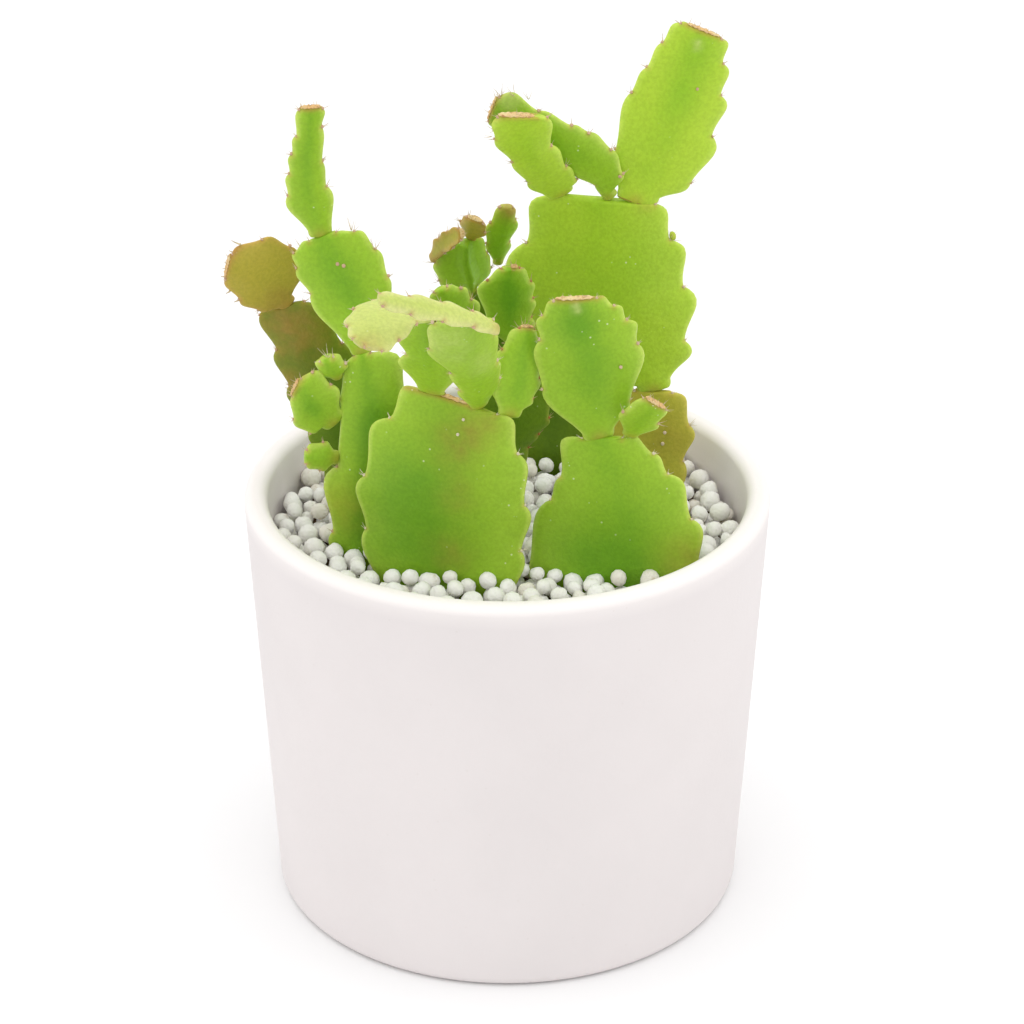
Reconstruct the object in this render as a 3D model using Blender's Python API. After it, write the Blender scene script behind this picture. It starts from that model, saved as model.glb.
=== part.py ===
"""Potted holiday cactus: a tapered ceramic pot with soil, white pebbles and seven stems of flat pads.

Frame: metres, +Z up, origin on the pot's axis at its flat base. The plant is seen from -Y.
Every pad is a lobed plate. It has a base, a length and the places of the notches on its two margins,
and it grows from a place on the pad that carries it.
"""

from dataclasses import dataclass
from math import cos, pi, radians, sin

import bmesh
import bpy
import numpy as np

MM = 0.001

# Pot, in millimetres
POT_RADIUS = 50.0
POT_BASE_RADIUS = 45.3
POT_HEIGHT = 84.0
POT_WALL = 4.4
POT_FLOOR = 5.0
LIP_ROUNDING = 1.9
BASE_ROUNDING = 2.2
INNER_CORNER_ROUNDING = 3.0
ROUND_STEPS = 48

# Filling, in millimetres
CLEARANCE = 0.3
PAD_GAP = 0.45
SLOT_GAP = 0.55
SOIL_TOP = 70.0
PEBBLE_TOP = 77.0
FOOT_HEIGHT = 68.0
SLOT_HEIGHT = 16.0

# Pad form
LOBE_BULGE = 0.15
LOBE_LEAN = 2.1
LOBE_ROUNDNESS = 0.8
LOBE_SPACING = 0.65
MARGIN_SHARPNESS = 2.6
END_THICKNESS = 0.72
NECK_DEPTH = 0.35
NECK_WIDTH = 0.55
APEX_ROUNDING = 0.25
ROWS_PER_LOBE = 3
COLUMNS = (-0.8, -0.35, 0.35, 0.8)
RIBBED_COLUMNS = (-0.8, -0.35, 0.0, 0.35, 0.8)
RIB_WIDTH = 0.4


@dataclass
class Pad:
    """One flat stem segment, in millimetres and degrees.

    seat is the place of its base on the pad that carries it: along, across to the right and, if it
    grows from a face, out of it. A pad with no carrier stands at seat = x, y on the soil. lean tips
    it to the right, forward tips it towards the viewer and turn swings its face to the right. cup
    brings its margins forward, and curl bends its length. A margin is a list of notches: along,
    distance from the midline, and how far the lobe below that notch swells, as a share of its length.
    """

    name: str
    seat: tuple
    length: float
    lean: float
    forward: float
    turn: float
    left: list
    right: list
    on: str = ""
    thick: float = 2.2
    cup: float = 0.0
    curl: float = 0.0
    rib: float = 0.0
    colour: str = "green"


FRONT_LEFT_PADS = [
    Pad("front_left_base_pad", (-10.5, -21.0), 43.0, 1, -4, -11, thick=2.8, cup=-0.8,
        left=[(0, 5.0), (3, 13.5, 0.05), (14.8, 16.6, 0.13), (25.5, 16.8, 0.17), (37.5, 12.0, 0.2),
              (43.6, 6.0, 0.32)],
        right=[(0, 5.0), (3, 11.0, 0.05), (13.3, 13.0, 0.12), (22.5, 13.5), (32.6, 12.0), (40, 8.0, 0.28)]),
    Pad("front_left_inner_pad", (43.4, -3.49), 23.8, -4, 31, -20, on="front_left_base_pad", cup=0.6,
        left=[(0, 3.2), (11.3, 4.2, 0.2), (17.9, 3.8, 0.22), (23.2, 2.2, 0.3)],
        right=[(0, 2.0), (8, 3.7), (17, 3.9, 0.2), (23.4, 2.0, 0.1)]),
    Pad("front_left_curled_pad", (41.4, 4.5), 30.0, -5, 33, 15, on="front_left_base_pad", cup=-2.5,
        curl=-20,
        left=[(0, 1.5), (8, 3.0, 0.1), (14, 4.0, 0.1), (21, 6.9, 0.14), (29, 5.4, 0.1), (30, 2.0, 0.1)],
        right=[(0, 2.2), (6, 4.8), (13, 4.6, 0.1), (21, 5.0, 0.1), (25, 5.2, 0.1)]),
    Pad("front_left_folded_pad", (25.6, 5.2, 3.0), 26.0, -62, 29, 56, on="front_left_curled_pad",
        thick=1.8, colour="pale",
        left=[(0, 1.2), (5, 0.6, 0.1), (12, 0.9, 0.1), (19, 0.9, 0.1), (25, 0.5, 0.1)],
        right=[(0, 1.2), (5, 2.4), (12, 2.6, 0.1), (19, 2.4, 0.1), (25.5, 1.6, 0.1)]),
    Pad("front_left_drooping_pad", (24.2, 1.2), 16.4, -90, 51, 72, on="front_left_inner_pad",
        thick=2.0, cup=-0.8, curl=-15, colour="pale",
        left=[(0, 1.4), (4, 0.4, 0.0), (10.5, 2.0, 0.1), (15.2, 2.2, 0.16), (16.8, -0.4, 0.2)],
        right=[(0, 2.2), (0.8, 6.0, 0.2), (5, 8.9, 0.08), (10, 9.2, 0.1), (15.0, 6.2, 0.16),
               (16.8, 3.0, 0.2)]),
    Pad("front_left_round_pad", (39.42, 9.92, -1.11), 16.0, 12, -9, 20, on="front_left_base_pad", cup=-0.5,
        left=[(0, 2.2), (5.5, 4.0), (12, 3.9), (16.3, 1.5, 0.22)],
        right=[(0, 2.6), (3.3, 4.2, 0.25), (7.2, 4.6, 0.2), (10.4, 3.7), (14.6, 2.6), (16.4, 1.2)]),
]

FRONT_RIGHT_PADS = [
    Pad("front_right_base_pad", (19.5, -21.0), 34.0, -3, -7, -8, thick=2.8, cup=-0.8,
        left=[(0, 5.0), (7.5, 15.6), (22, 10.5, 0.12), (26.5, 8.5, 0.1), (34, 4.0, 0.36)],
        right=[(0, 5.0), (8, 16.5, 0.1), (18, 15.5, 0.18), (27, 11.5, 0.2), (31, 9.0), (34, 3.5, 0.26)]),
    Pad("front_right_upper_pad", (34.2, -0.8), 29.0, -10, 6, 4, on="front_right_base_pad",
        thick=2.4, cup=-0.6, curl=8,
        left=[(0, 3.0), (11.5, 8.6, 0.1), (22, 7.2, 0.12), (27, 6.0, 0.2), (29.6, 3.4, 0.2)],
        right=[(0, 3.0), (6, 6.8, 0.08), (17, 10.0), (22.5, 8.8, 0.26), (26, 7.0, 0.26),
               (28.3, 4.2, 0.26)]),
    Pad("front_right_side_pad", (34.7, 4.9), 10.8, 25, 28, 12, on="front_right_base_pad", thick=2.0,
        left=[(0, 1.8), (6, 4.2), (11.4, 2.5, 0.12)],
        right=[(0, 1.5), (5, 3.2, 0.24), (9.6, 2.6)]),
]

BACK_RIGHT_PADS = [
    Pad("back_right_base_pad", (28.0, 17.0), 27.5, -1, 0, -7, thick=2.6, colour="olive",
        left=[(0, 4.0), (10, 7.5), (20, 7.5), (27.5, 3.0, 0.24)],
        right=[(0, 3.5), (12.8, 6.4, 0.12), (20.7, 7.6, 0.18), (27.3, 4.2, 0.26)]),
    Pad("back_right_large_pad", (27.92, 0.77), 42.6, -15, 4, -4, on="back_right_base_pad",
        thick=3.0, cup=-1.5, curl=6,
        left=[(0, 3.2), (5.5, 15.0, 0.1), (15, 22.0), (35.5, 16.0, 0.18), (44.5, 8.6, 0.26)],
        right=[(0, 3.6), (8.5, 8.2, 0.26), (19.5, 10.6, 0.22), (30, 10.5, 0.22), (38, 9.6, 0.2)]),
    Pad("back_right_top_pad", (39.6, 5.8), 35.0, 19, 1, 5, on="back_right_large_pad",
        thick=2.6, cup=-0.6, curl=8,
        left=[(0, 3.6), (8.4, 6.7, 0.12), (19.8, 7.6, 0.08), (25.5, 6.7, 0.1), (31, 5.7, 0.1),
              (35.6, 3.8, 0.2)],
        right=[(0, 4.6), (6, 9.2), (15.9, 9.9, 0.2), (24.2, 8.4, 0.2), (30.3, 6.5, 0.2),
               (34.9, 4.3, 0.26)]),
    Pad("back_right_left_pad", (44.49, -6.61), 28.0, -24, 32, 3, on="back_right_large_pad",
        cup=0.5, curl=-10,
        left=[(0, 2.8), (8.5, 4.2, 0.1), (15.7, 4.6, 0.08), (23.6, 5.0, 0.08), (28, 2.4, 0.22)],
        right=[(0, 2.4), (2.2, 3.8, 0.2), (7.5, 3.4, 0.12), (15, 3.1, 0.12), (22.9, 5.3, 0.1)]),
    Pad("back_right_long_pad", (41.5, 2.02), 27.5, -50, 9, -16, on="back_right_large_pad",
        left=[(0, 1.2), (4, -0.3, 0.05), (8.5, 0.7, 0.05), (17, 1.4, 0.05), (26, 2.9, 0.08), (28, 1.9, 0.2)],
        right=[(0, 2.0), (1.8, 5.8), (7.2, 8.5, 0.12), (12.8, 8.6, 0.12), (16.3, 7.8), (22.9, 6.2, 0.12),
               (30.2, 3.6, 0.26)]),
]

LEFT_PADS = [
    Pad("left_base_pad", (-28.5, -9.0), 47.5, 2, -1, -6, thick=2.8, cup=-0.6,
        left=[(0, 3.0), (10, 4.8), (23.5, 4.2, 0.18), (37.5, 4.0, -0.03), (46.5, 1.2, 0.12)],
        right=[(0, 3.0), (10, 5.0), (24, 6.0), (37.5, 9.0), (47.2, 1.6, 0.34)]),
    Pad("left_side_pad", (32.6, -4.6), 10.8, -48, 10, -7, on="left_base_pad", thick=2.4,
        left=[(0, 2.6), (1.4, 4.9, 0.2), (6, 4.5, 0.2), (9.6, 0.6, 0.1)],
        right=[(0, 3.0), (6, 6.0, 0.2), (10.4, 5.9, 0.22), (10.9, 3.4, 0.1)]),
    Pad("left_low_pad", (25.5, -4.1), 5.8, -78, 20, 13, on="left_base_pad",
        left=[(0, 1.4), (2.8, 2.6, 0.22), (5.6, 1.4, 0.24)],
        right=[(0, 1.4), (2.8, 2.8, 0.22), (5.8, 1.2, 0.24)]),
    Pad("left_small_pad", (41.95, -4.35), 5.4, -20, 28, -2, on="left_base_pad", thick=2.6,
        left=[(0, 1.2), (2.6, 2.7, 0.3), (5.2, 1.4, 0.3)],
        right=[(0, 1.2), (2.6, 2.6, 0.3), (5.4, 1.2, 0.3)]),
    Pad("left_upper_pad", (47.1, 0.2), 22.6, -16, -8, -7, on="left_base_pad", thick=2.4, cup=-0.6,
        left=[(0, 2.2), (12.7, 6.2, 0.1), (17.9, 7.4), (20.8, 7.0, 0.2), (22.2, 3.4, 0.2)],
        right=[(0, 2.0), (7.8, 8.2, 0.1), (12.5, 8.8, 0.1), (18, 8.0, 0.12), (22.2, 5.2, 0.2),
               (22.8, 2.0, 0.1)]),
    Pad("left_finger_pad", (22.91, -1.04), 26.2, -3, 9, 6, on="left_upper_pad", curl=6,
        left=[(0, 2.2), (8.5, 5.2), (13, 4.5), (17, 3.7), (20.5, 2.6), (26, 1.6, 0.1)],
        right=[(0, 2.2), (9.6, 1.9, 0.12), (15, 1.6, 0.06), (22, 2.1, 0.06), (25.8, 2.5, 0.14)]),
]

FAR_LEFT_PADS = [
    Pad("far_left_base_pad", (-27.0, 13.0), 52.0, -17, 5, -4, thick=2.4, colour="dark",
        left=[(0, 3.0), (16, 3.5, 0.1), (25, 3.6), (35, 4.6), (43, 4.4), (51, 5.0, 0.1)],
        right=[(0, 3.0), (16, 6.0), (29, 8.0), (41, 8.0), (51.5, 4.0, 0.18)]),
    Pad("far_left_top_pad", (51.8, 1.2), 15.5, -47, 24, 3, on="far_left_base_pad", thick=2.0,
        cup=0.6, colour="tan",
        left=[(0, 1.8), (4, 4.2), (9, 4.2), (14.4, 2.0)],
        right=[(0, 1.8), (4, 7.4, 0.2), (9, 10.2), (14.6, 8.4, 0.18), (17, 2.8, 0.18)]),
]

CENTRE_PADS = [
    Pad("centre_base_pad", (-1.5, 6.0), 41.0, 3, -1, 7, thick=2.4, colour="dark",
        left=[(0, 3.0), (11, 5.5), (20, 6.2), (30.5, 6.6), (41, 3.5, 0.2)],
        right=[(0, 2.5), (12, 2.8, 0.05), (20.7, 4.4, 0.05), (23.5, 6.2), (26.9, 8.0, 0.2), (36.5, 7.0),
               (41, 3.5, 0.2)]),
    Pad("centre_round_pad", (41.2, 1.3), 17.0, -7, 9, 4, on="centre_base_pad", thick=2.4,
        left=[(0, 1.6), (7, 5.0, 0.1), (15.6, 3.7, 0.22), (17.6, 0.8)],
        right=[(0, 1.8), (6.2, 3.3, 0.18), (10.3, 4.1, 0.18), (14, 4.2, 0.2), (17.2, 2.4, 0.2)]),
    Pad("centre_small_pad", (41.2, -3.2), 21.5, -30, 27, 3, on="centre_base_pad", thick=1.8,
        left=[(0, 1.2), (10.5, 4.4), (18, 3.9), (21.2, 1.4, 0.2)],
        right=[(0, 1.0), (8, 1.4, 0.08), (14.5, 2.9, 0.18), (18.5, 2.8, 0.2), (20.8, 1.0, 0.2)]),
]

BACK_PADS = [
    Pad("back_base_pad", (8.0, 29.0), 25.0, -6, 0, 1, thick=2.4, colour="dark",
        left=[(0, 3.0), (12, 4.5), (19.5, 5.0), (24.5, 2.5, 0.2)],
        right=[(0, 3.0), (9, 8.8), (17, 9.2), (24.5, 3.0, 0.2)]),
    Pad("back_middle_pad", (24.9, -0.3), 22.0, -34, 3, 2, on="back_base_pad", colour="dark",
        left=[(0, 1.6), (8.5, 4.2), (16.5, 3.8), (22, 1.6, 0.2)],
        right=[(0, 1.6), (6.5, 5.0), (15, 4.6), (21.5, 1.8, 0.2)]),
    Pad("back_ribbed_pad", (22.0, 0.0), 11.0, -4, 4, 18, on="back_middle_pad", thick=2.4, rib=2.2,
        cup=-1.5,
        left=[(0, 1.8), (3, 5.4, 0.2), (7, 5.8), (10.5, 4.0)],
        right=[(0, 1.8), (3.4, 5.2), (7, 4.4, 0.12), (11, 3.0)]),
    Pad("back_folded_pad", (7.9, -6.4, 0.7), 13.4, 34, 38, -50, on="back_ribbed_pad", thick=1.6, cup=1.0,
        colour="tan",
        left=[(0, 1.1), (6, 1.9, 0.1), (9.5, 1.9, 0.1), (12.8, 1.1)],
        right=[(0, 0.8), (5.0, 0.8, 0.0), (9.0, 1.2, 0.1), (12.4, 1.0, 0.1)]),
    Pad("back_yellow_pad", (11.4, 1.2), 7.6, 6, 38, -30, on="back_ribbed_pad", thick=1.6, colour="tan",
        left=[(0, 1.5), (3.2, 2.6, 0.15), (6.3, 1.2)],
        right=[(0, 1.4), (4.6, 2.9), (7.4, 2.2, 0.2)]),
    Pad("back_oblong_pad", (3.6, 6.9), 14.2, 10, 18, 13, on="back_ribbed_pad", thick=2.0,
        left=[(0, 1.2), (4.7, 3.2, 0.1), (10, 3.2), (13.9, 2.0, 0.1)],
        right=[(0, 1.0), (5.3, 1.2), (11, 1.5), (13.9, 0.4, 0.18)]),
]

PADS = (FRONT_LEFT_PADS + FRONT_RIGHT_PADS + BACK_RIGHT_PADS + LEFT_PADS + FAR_LEFT_PADS
        + CENTRE_PADS + BACK_PADS)

# Surface colours (linear RGB) and roughness
PAD_COLOURS = {
    "green": (0.29, 0.53, 0.04),
    "pale": (0.55, 0.68, 0.19),
    "olive": (0.45, 0.49, 0.06),
    "dark": (0.12, 0.27, 0.03),
    "tan": (0.60, 0.45, 0.11),
}
PAD_ROUGHNESS = 0.45
POT_COLOUR = (0.84, 0.80, 0.78)
POT_ROUGHNESS = 0.6
SOIL_COLOUR = (0.10, 0.06, 0.035)
SOIL_ROUGHNESS = 0.95
PEBBLE_COLOUR = (0.86, 0.83, 0.76)
PEBBLE_ROUGHNESS = 0.8


def clear_scene():
    """Remove every object of the open scene."""
    for item in list(bpy.data.objects):
        bpy.data.objects.remove(item, do_unlink=True)


def make_material(name, colour, roughness):
    """Return a plain non-metal material."""
    material = bpy.data.materials.new(name)
    material.use_nodes = True
    shader = material.node_tree.nodes["Principled BSDF"]
    shader.inputs["Base Color"].default_value = (*colour, 1.0)
    shader.inputs["Roughness"].default_value = roughness
    shader.inputs["Metallic"].default_value = 0.0
    return material


def add_object(name, mesh, material):
    """Put a smooth-shaded mesh in the scene under its node name."""
    mesh.materials.append(material)
    mesh.shade_smooth()
    mesh.set_sharp_from_angle(angle=radians(40))
    item = bpy.data.objects.new(name, mesh)
    bpy.context.scene.collection.objects.link(item)
    return item


# Pads

def pad_axes(pad):
    """Return the unit directions of a pad: along, across to the right, and out of its face."""
    lean, forward, turn = radians(pad.lean), radians(pad.forward), radians(pad.turn)
    along = np.array([cos(forward) * sin(lean), -sin(forward), cos(forward) * cos(lean)])
    face = np.array([-sin(forward) * sin(lean), -cos(forward), -sin(forward) * cos(lean)])
    across = np.array([cos(lean), 0.0, -sin(lean)])
    turned_face = cos(turn) * face + sin(turn) * across
    turned_across = cos(turn) * across - sin(turn) * face
    return along, turned_across, turned_face


def pad_base(pad, placed):
    """Return the place of a pad's base: on the soil, or on the pad that carries it."""
    if not pad.on:
        return np.array([pad.seat[0], pad.seat[1], FOOT_HEIGHT])
    carrier, carrier_base = placed[pad.on]
    along, across, out = (*pad.seat, 0.0)[:3]
    seat = place_on_pad(carrier, carrier_base, np.array(along), np.array(across), out)
    return seat + PAD_GAP * pad_axes(pad)[0]


def place_on_pad(pad, base, along, across, out):
    """Turn plane coordinates of a pad into space, with its cup and the arc of its curl."""
    along_axis, across_axis, face_axis = pad_axes(pad)
    half_width = max(notch[1] for notch in pad.left + pad.right)
    out = out + pad.cup * (across / half_width) ** 2
    if pad.curl:
        curl = radians(pad.curl)
        arc_radius = pad.length / (2 * sin(curl / 2))
        angle = curl * (along / pad.length - 0.5)
        along = arc_radius * (np.sin(angle) + sin(curl / 2)) - out * np.sin(angle)
        out = arc_radius * (cos(curl / 2) - np.cos(angle)) + out * np.cos(angle)
    return base + along[..., None] * along_axis + across[..., None] * across_axis + out[..., None] * face_axis


def margin_points(notches, rows):
    """Return the rows' places on one margin: straight from notch to notch, each lobe swelling outwards."""
    neck = (NECK_DEPTH * notches[0][1], notches[0][1])
    corners = np.array([neck] + [notch[:2] for notch in notches[1:]], dtype=float)
    bulges = np.array([notch[2] if len(notch) > 2 else LOBE_BULGE for notch in notches[1:]])
    lobe_count = len(bulges)
    row_of_corner = np.round(np.arange(lobe_count + 1) * (rows - 1) / lobe_count)
    position = np.interp(np.arange(rows), row_of_corner, np.arange(lobe_count + 1))
    lobe = np.minimum(position.astype(int), lobe_count - 1)
    share = (position - lobe)[:, None] ** LOBE_SPACING
    chord = corners[lobe + 1] - corners[lobe]
    outward = np.stack([-chord[:, 1], chord[:, 0]], axis=1)
    swell = np.sin(pi * share ** LOBE_LEAN).clip(0) ** LOBE_ROUNDNESS
    return corners[lobe] + chord * share + outward * bulges[lobe][:, None] * swell


def pad_rows(pad, grow, top):
    """Return left and right margins and a thickness share for each row, from the neck to the apex."""
    rows = ROWS_PER_LOBE * (max(len(pad.left), len(pad.right)) - 1) + 1
    left = margin_points(pad.left, rows) * (1, -1)
    right = margin_points(pad.right, rows)
    share = np.clip((left[:, 0] + right[:, 0]) / 2 / pad.length, 0, 1)
    thickness = END_THICKNESS + (1 - END_THICKNESS) * np.sin(pi * share) ** 0.8
    neck_width = NECK_WIDTH * (pad.left[0][1] + pad.right[0][1]) / 2
    left = np.vstack([(0.0, -neck_width), left, left[-1] * (1, 0.85) + (APEX_ROUNDING, 0)])
    right = np.vstack([(0.0, neck_width), right, right[-1] * (1, 0.85) + (APEX_ROUNDING, 0)])
    thickness = np.concatenate([[thickness[0] * 0.6], thickness, [thickness[-1] * 0.6]])
    left -= grow
    right += (-grow, grow)
    kept = np.maximum(left[:, 0], right[:, 0]) < top
    return left[kept], right[kept], thickness[kept]


def pad_mesh(name, pad, base, grow=0.0, top=1000.0):
    """Build the closed mesh of a pad: rings of points round its section, with a fan at each end."""
    left, right, thickness = pad_rows(pad, grow, top)
    inner = np.array(RIBBED_COLUMNS if pad.rib else COLUMNS)
    columns = np.concatenate([[-1.0], inner, [1.0], inner[::-1]])
    side = np.concatenate([[0.0], np.ones(len(inner)), [0.0], -np.ones(len(inner))])
    weight = (columns + 1) / 2
    flat = left[:, None, :] + (right - left)[:, None, :] * weight[None, :, None]
    body = pad.thick / 2 * np.sqrt(1 - np.abs(columns) ** MARGIN_SHARPNESS)
    rib = pad.rib * np.clip(1 - np.abs(columns) / RIB_WIDTH, 0, 1) * (side > 0)
    out = thickness[:, None] * (side * body + rib)[None, :] + grow * side
    rings = place_on_pad(pad, base, flat[..., 0], flat[..., 1], out)
    row_count, ring_count = out.shape
    ends = [rings[0].mean(axis=0), rings[-1].mean(axis=0)]
    points = np.vstack([rings.reshape(-1, 3), ends]) * MM
    faces = []
    for row in range(row_count - 1):
        for column in range(ring_count):
            following = (column + 1) % ring_count
            faces.append((row * ring_count + column, row * ring_count + following,
                          (row + 1) * ring_count + following, (row + 1) * ring_count + column))
    neck_centre = row_count * ring_count
    last_ring = (row_count - 1) * ring_count
    for column in range(ring_count):
        following = (column + 1) % ring_count
        faces.append((neck_centre, following, column))
        faces.append((neck_centre + 1, last_ring + column, last_ring + following))
    mesh = bpy.data.meshes.new(name)
    mesh.from_pydata(points.tolist(), [], faces)
    return mesh


def build_pads():
    """Build every pad, each one on the pad that carries it, and return the pads' bases by name."""
    materials = {key: make_material("pad_" + key, colour, PAD_ROUGHNESS)
                 for key, colour in PAD_COLOURS.items()}
    placed = {}
    for pad in PADS:
        base = pad_base(pad, placed)
        placed[pad.name] = (pad, base)
        add_object(pad.name, pad_mesh(pad.name, pad, base), materials[pad.colour])
    return placed


# Pot and filling

def arc(centre_r, centre_z, radius, start, stop, steps):
    """Return profile points on an arc, angles in degrees from +R towards +Z."""
    points = []
    for step in range(steps + 1):
        angle = radians(start + (stop - start) * step / steps)
        points.append((centre_r + radius * cos(angle), centre_z + radius * sin(angle)))
    return points


def outer_radius(height):
    """Return the pot's outer radius at a height: it widens evenly to the lip."""
    return POT_BASE_RADIUS + (POT_RADIUS - POT_BASE_RADIUS) * height / POT_HEIGHT


def inner_radius(height):
    """Return the radius of the pot's inner wall at a height."""
    return outer_radius(height) - POT_WALL


def corner_radius():
    """Return the radius at which the rounded corner between the inner wall and the floor starts."""
    return inner_radius(POT_FLOOR + INNER_CORNER_ROUNDING) - INNER_CORNER_ROUNDING


def spin_profile(name, profile):
    """Turn a profile that starts and ends on the axis into a closed mesh."""
    shape = bmesh.new()
    points = [shape.verts.new((radius * MM, 0.0, height * MM)) for radius, height in profile]
    edges = [shape.edges.new(pair) for pair in zip(points, points[1:])]
    bmesh.ops.spin(shape, geom=points + edges, cent=(0, 0, 0), axis=(0, 0, 1), angle=2 * pi,
                   steps=ROUND_STEPS, use_merge=True)
    bmesh.ops.remove_doubles(shape, verts=shape.verts, dist=0.00001)
    bmesh.ops.recalc_face_normals(shape, faces=shape.faces)
    mesh = bpy.data.meshes.new(name)
    shape.to_mesh(mesh)
    shape.free()
    return mesh


def build_pot():
    """Build the pot: flat base, rounded foot, tapering wall and a fully rounded lip."""
    lip_height = POT_HEIGHT - LIP_ROUNDING
    foot_radius = POT_BASE_RADIUS - BASE_ROUNDING
    profile = [(0.0, 0.0)]
    profile += arc(foot_radius, BASE_ROUNDING, BASE_ROUNDING, -90, 0, 4)
    profile += arc(outer_radius(lip_height) - LIP_ROUNDING, lip_height, LIP_ROUNDING, 0, 90, 4)
    profile += arc(inner_radius(lip_height) + LIP_ROUNDING, lip_height, LIP_ROUNDING, 90, 180, 4)
    profile += arc(corner_radius(), POT_FLOOR + INNER_CORNER_ROUNDING, INNER_CORNER_ROUNDING, 0, -90, 3)
    profile.append((0.0, POT_FLOOR))
    add_object("pot", spin_profile("pot", profile), make_material("ceramic", POT_COLOUR, POT_ROUGHNESS))


def add_filling(name, edge, top, material, cutter):
    """Build a layer that fills the pot, with slots for the pads that stand in it.

    edge is the layer's profile from its bottom to the wall; the layer follows the wall to its top.
    """
    profile = [(0.0, edge[0][1])] + edge + [(inner_radius(top) - CLEARANCE, top), (0.0, top)]
    layer = add_object(name, spin_profile(name, profile), material)
    slots = layer.modifiers.new("slots", "BOOLEAN")
    slots.operation = "DIFFERENCE"
    slots.solver = "EXACT"
    slots.object = cutter
    return layer


def build_slot_cutter(placed):
    """Join the enlarged feet of the standing pads into one cutting shape."""
    shape = bmesh.new()
    for pad, base in placed.values():
        if pad.on:
            continue
        foot = pad_mesh("foot", pad, base, grow=SLOT_GAP, top=SLOT_HEIGHT)
        shape.from_mesh(foot)
        bpy.data.meshes.remove(foot)
    mesh = bpy.data.meshes.new("slot_cutter")
    shape.to_mesh(mesh)
    shape.free()
    cutter = bpy.data.objects.new("slot_cutter", mesh)
    cutter.hide_render = True
    cutter.display_type = "WIRE"
    bpy.context.scene.collection.objects.link(cutter)
    return cutter


def build_filling(placed):
    """Build the soil, which rests on the pot's floor, and the pebble layer on top of it."""
    cutter = build_slot_cutter(placed)
    soil_edge = arc(corner_radius(), POT_FLOOR + INNER_CORNER_ROUNDING,
                    INNER_CORNER_ROUNDING - CLEARANCE, -90, 0, 3)
    add_filling("soil", soil_edge, SOIL_TOP, make_material("soil", SOIL_COLOUR, SOIL_ROUGHNESS), cutter)
    pebble_bottom = SOIL_TOP + CLEARANCE
    pebble_edge = [(inner_radius(pebble_bottom) - CLEARANCE, pebble_bottom)]
    add_filling("pebble_layer", pebble_edge, PEBBLE_TOP,
                make_material("pebbles", PEBBLE_COLOUR, PEBBLE_ROUGHNESS), cutter)


def main():
    """Build the whole potted plant."""
    clear_scene()
    build_pot()
    build_filling(build_pads())


main()
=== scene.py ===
"""Potted holiday cactus: flat lobed pads with bristles, pale pebbles and a matte ceramic pot.

Laid out as an add-on and run as a script. Lengths in the design are millimetres unless a name says
otherwise, angles are degrees, and the plant is seen from -Y. Every shape is a surface worked out on a
grid of points: make_skins turns the grids into closed meshes.
"""

from dataclasses import dataclass
from math import atan, cos, pi, radians, sin

import bpy
import numpy as np
from bpy.props import FloatProperty, FloatVectorProperty, IntProperty, PointerProperty
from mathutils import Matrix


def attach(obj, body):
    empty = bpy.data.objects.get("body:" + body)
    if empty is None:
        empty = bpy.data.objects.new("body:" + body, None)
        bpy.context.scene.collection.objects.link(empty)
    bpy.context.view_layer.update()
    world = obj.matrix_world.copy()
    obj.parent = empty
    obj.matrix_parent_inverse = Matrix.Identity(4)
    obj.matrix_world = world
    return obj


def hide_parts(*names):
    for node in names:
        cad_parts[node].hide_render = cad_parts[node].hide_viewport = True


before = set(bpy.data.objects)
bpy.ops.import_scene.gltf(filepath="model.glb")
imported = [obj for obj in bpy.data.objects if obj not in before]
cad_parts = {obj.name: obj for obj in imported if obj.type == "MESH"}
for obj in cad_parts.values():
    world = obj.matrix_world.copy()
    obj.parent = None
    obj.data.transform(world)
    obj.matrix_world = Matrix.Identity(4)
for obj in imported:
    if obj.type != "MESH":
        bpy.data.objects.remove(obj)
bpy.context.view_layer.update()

bl_info = {
    "name": "Potted Holiday Cactus",
    "version": (1, 0, 0),
    "blender": (4, 5, 0),
    "location": "View3D > Sidebar > Cactus",
    "description": "Builds a holiday cactus with bristly pads, pebbles and its ceramic pot",
    "category": "Add Mesh",
}

MM = 0.001

# Pot and filling
POT_RADIUS = 50.0
POT_BASE_RADIUS = 45.3
POT_HEIGHT = 84.0
POT_WALL = 4.4
POT_FLOOR = 5.0
LIP_ROUNDING = 1.9
BASE_ROUNDING = 2.2
INNER_CORNER_ROUNDING = 3.0
PEBBLE_BOTTOM = 70.3
PEBBLE_TOP = 77.0
FOOT_HEIGHT = 68.0

# Pad form
PAD_GAP = 0.45
LOBE_BULGE = 0.15
LOBE_LEAN = 2.1
LOBE_ROUNDNESS = 0.8
MARGIN_SHARPNESS = 2.6
END_THICKNESS = 0.72
NECK_DEPTH = 0.35
NECK_WIDTH = 0.75
NECK_SINK = 0.55
APEX_ROUNDING = 0.5
RIB_WIDTH = 0.4
PAD_COLUMNS = 19
LOBE_SHARES = (0.0, 0.1, 0.22, 0.36, 0.5, 0.64, 0.76, 0.86, 0.94)
SWELL_FADE = 2.5


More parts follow.
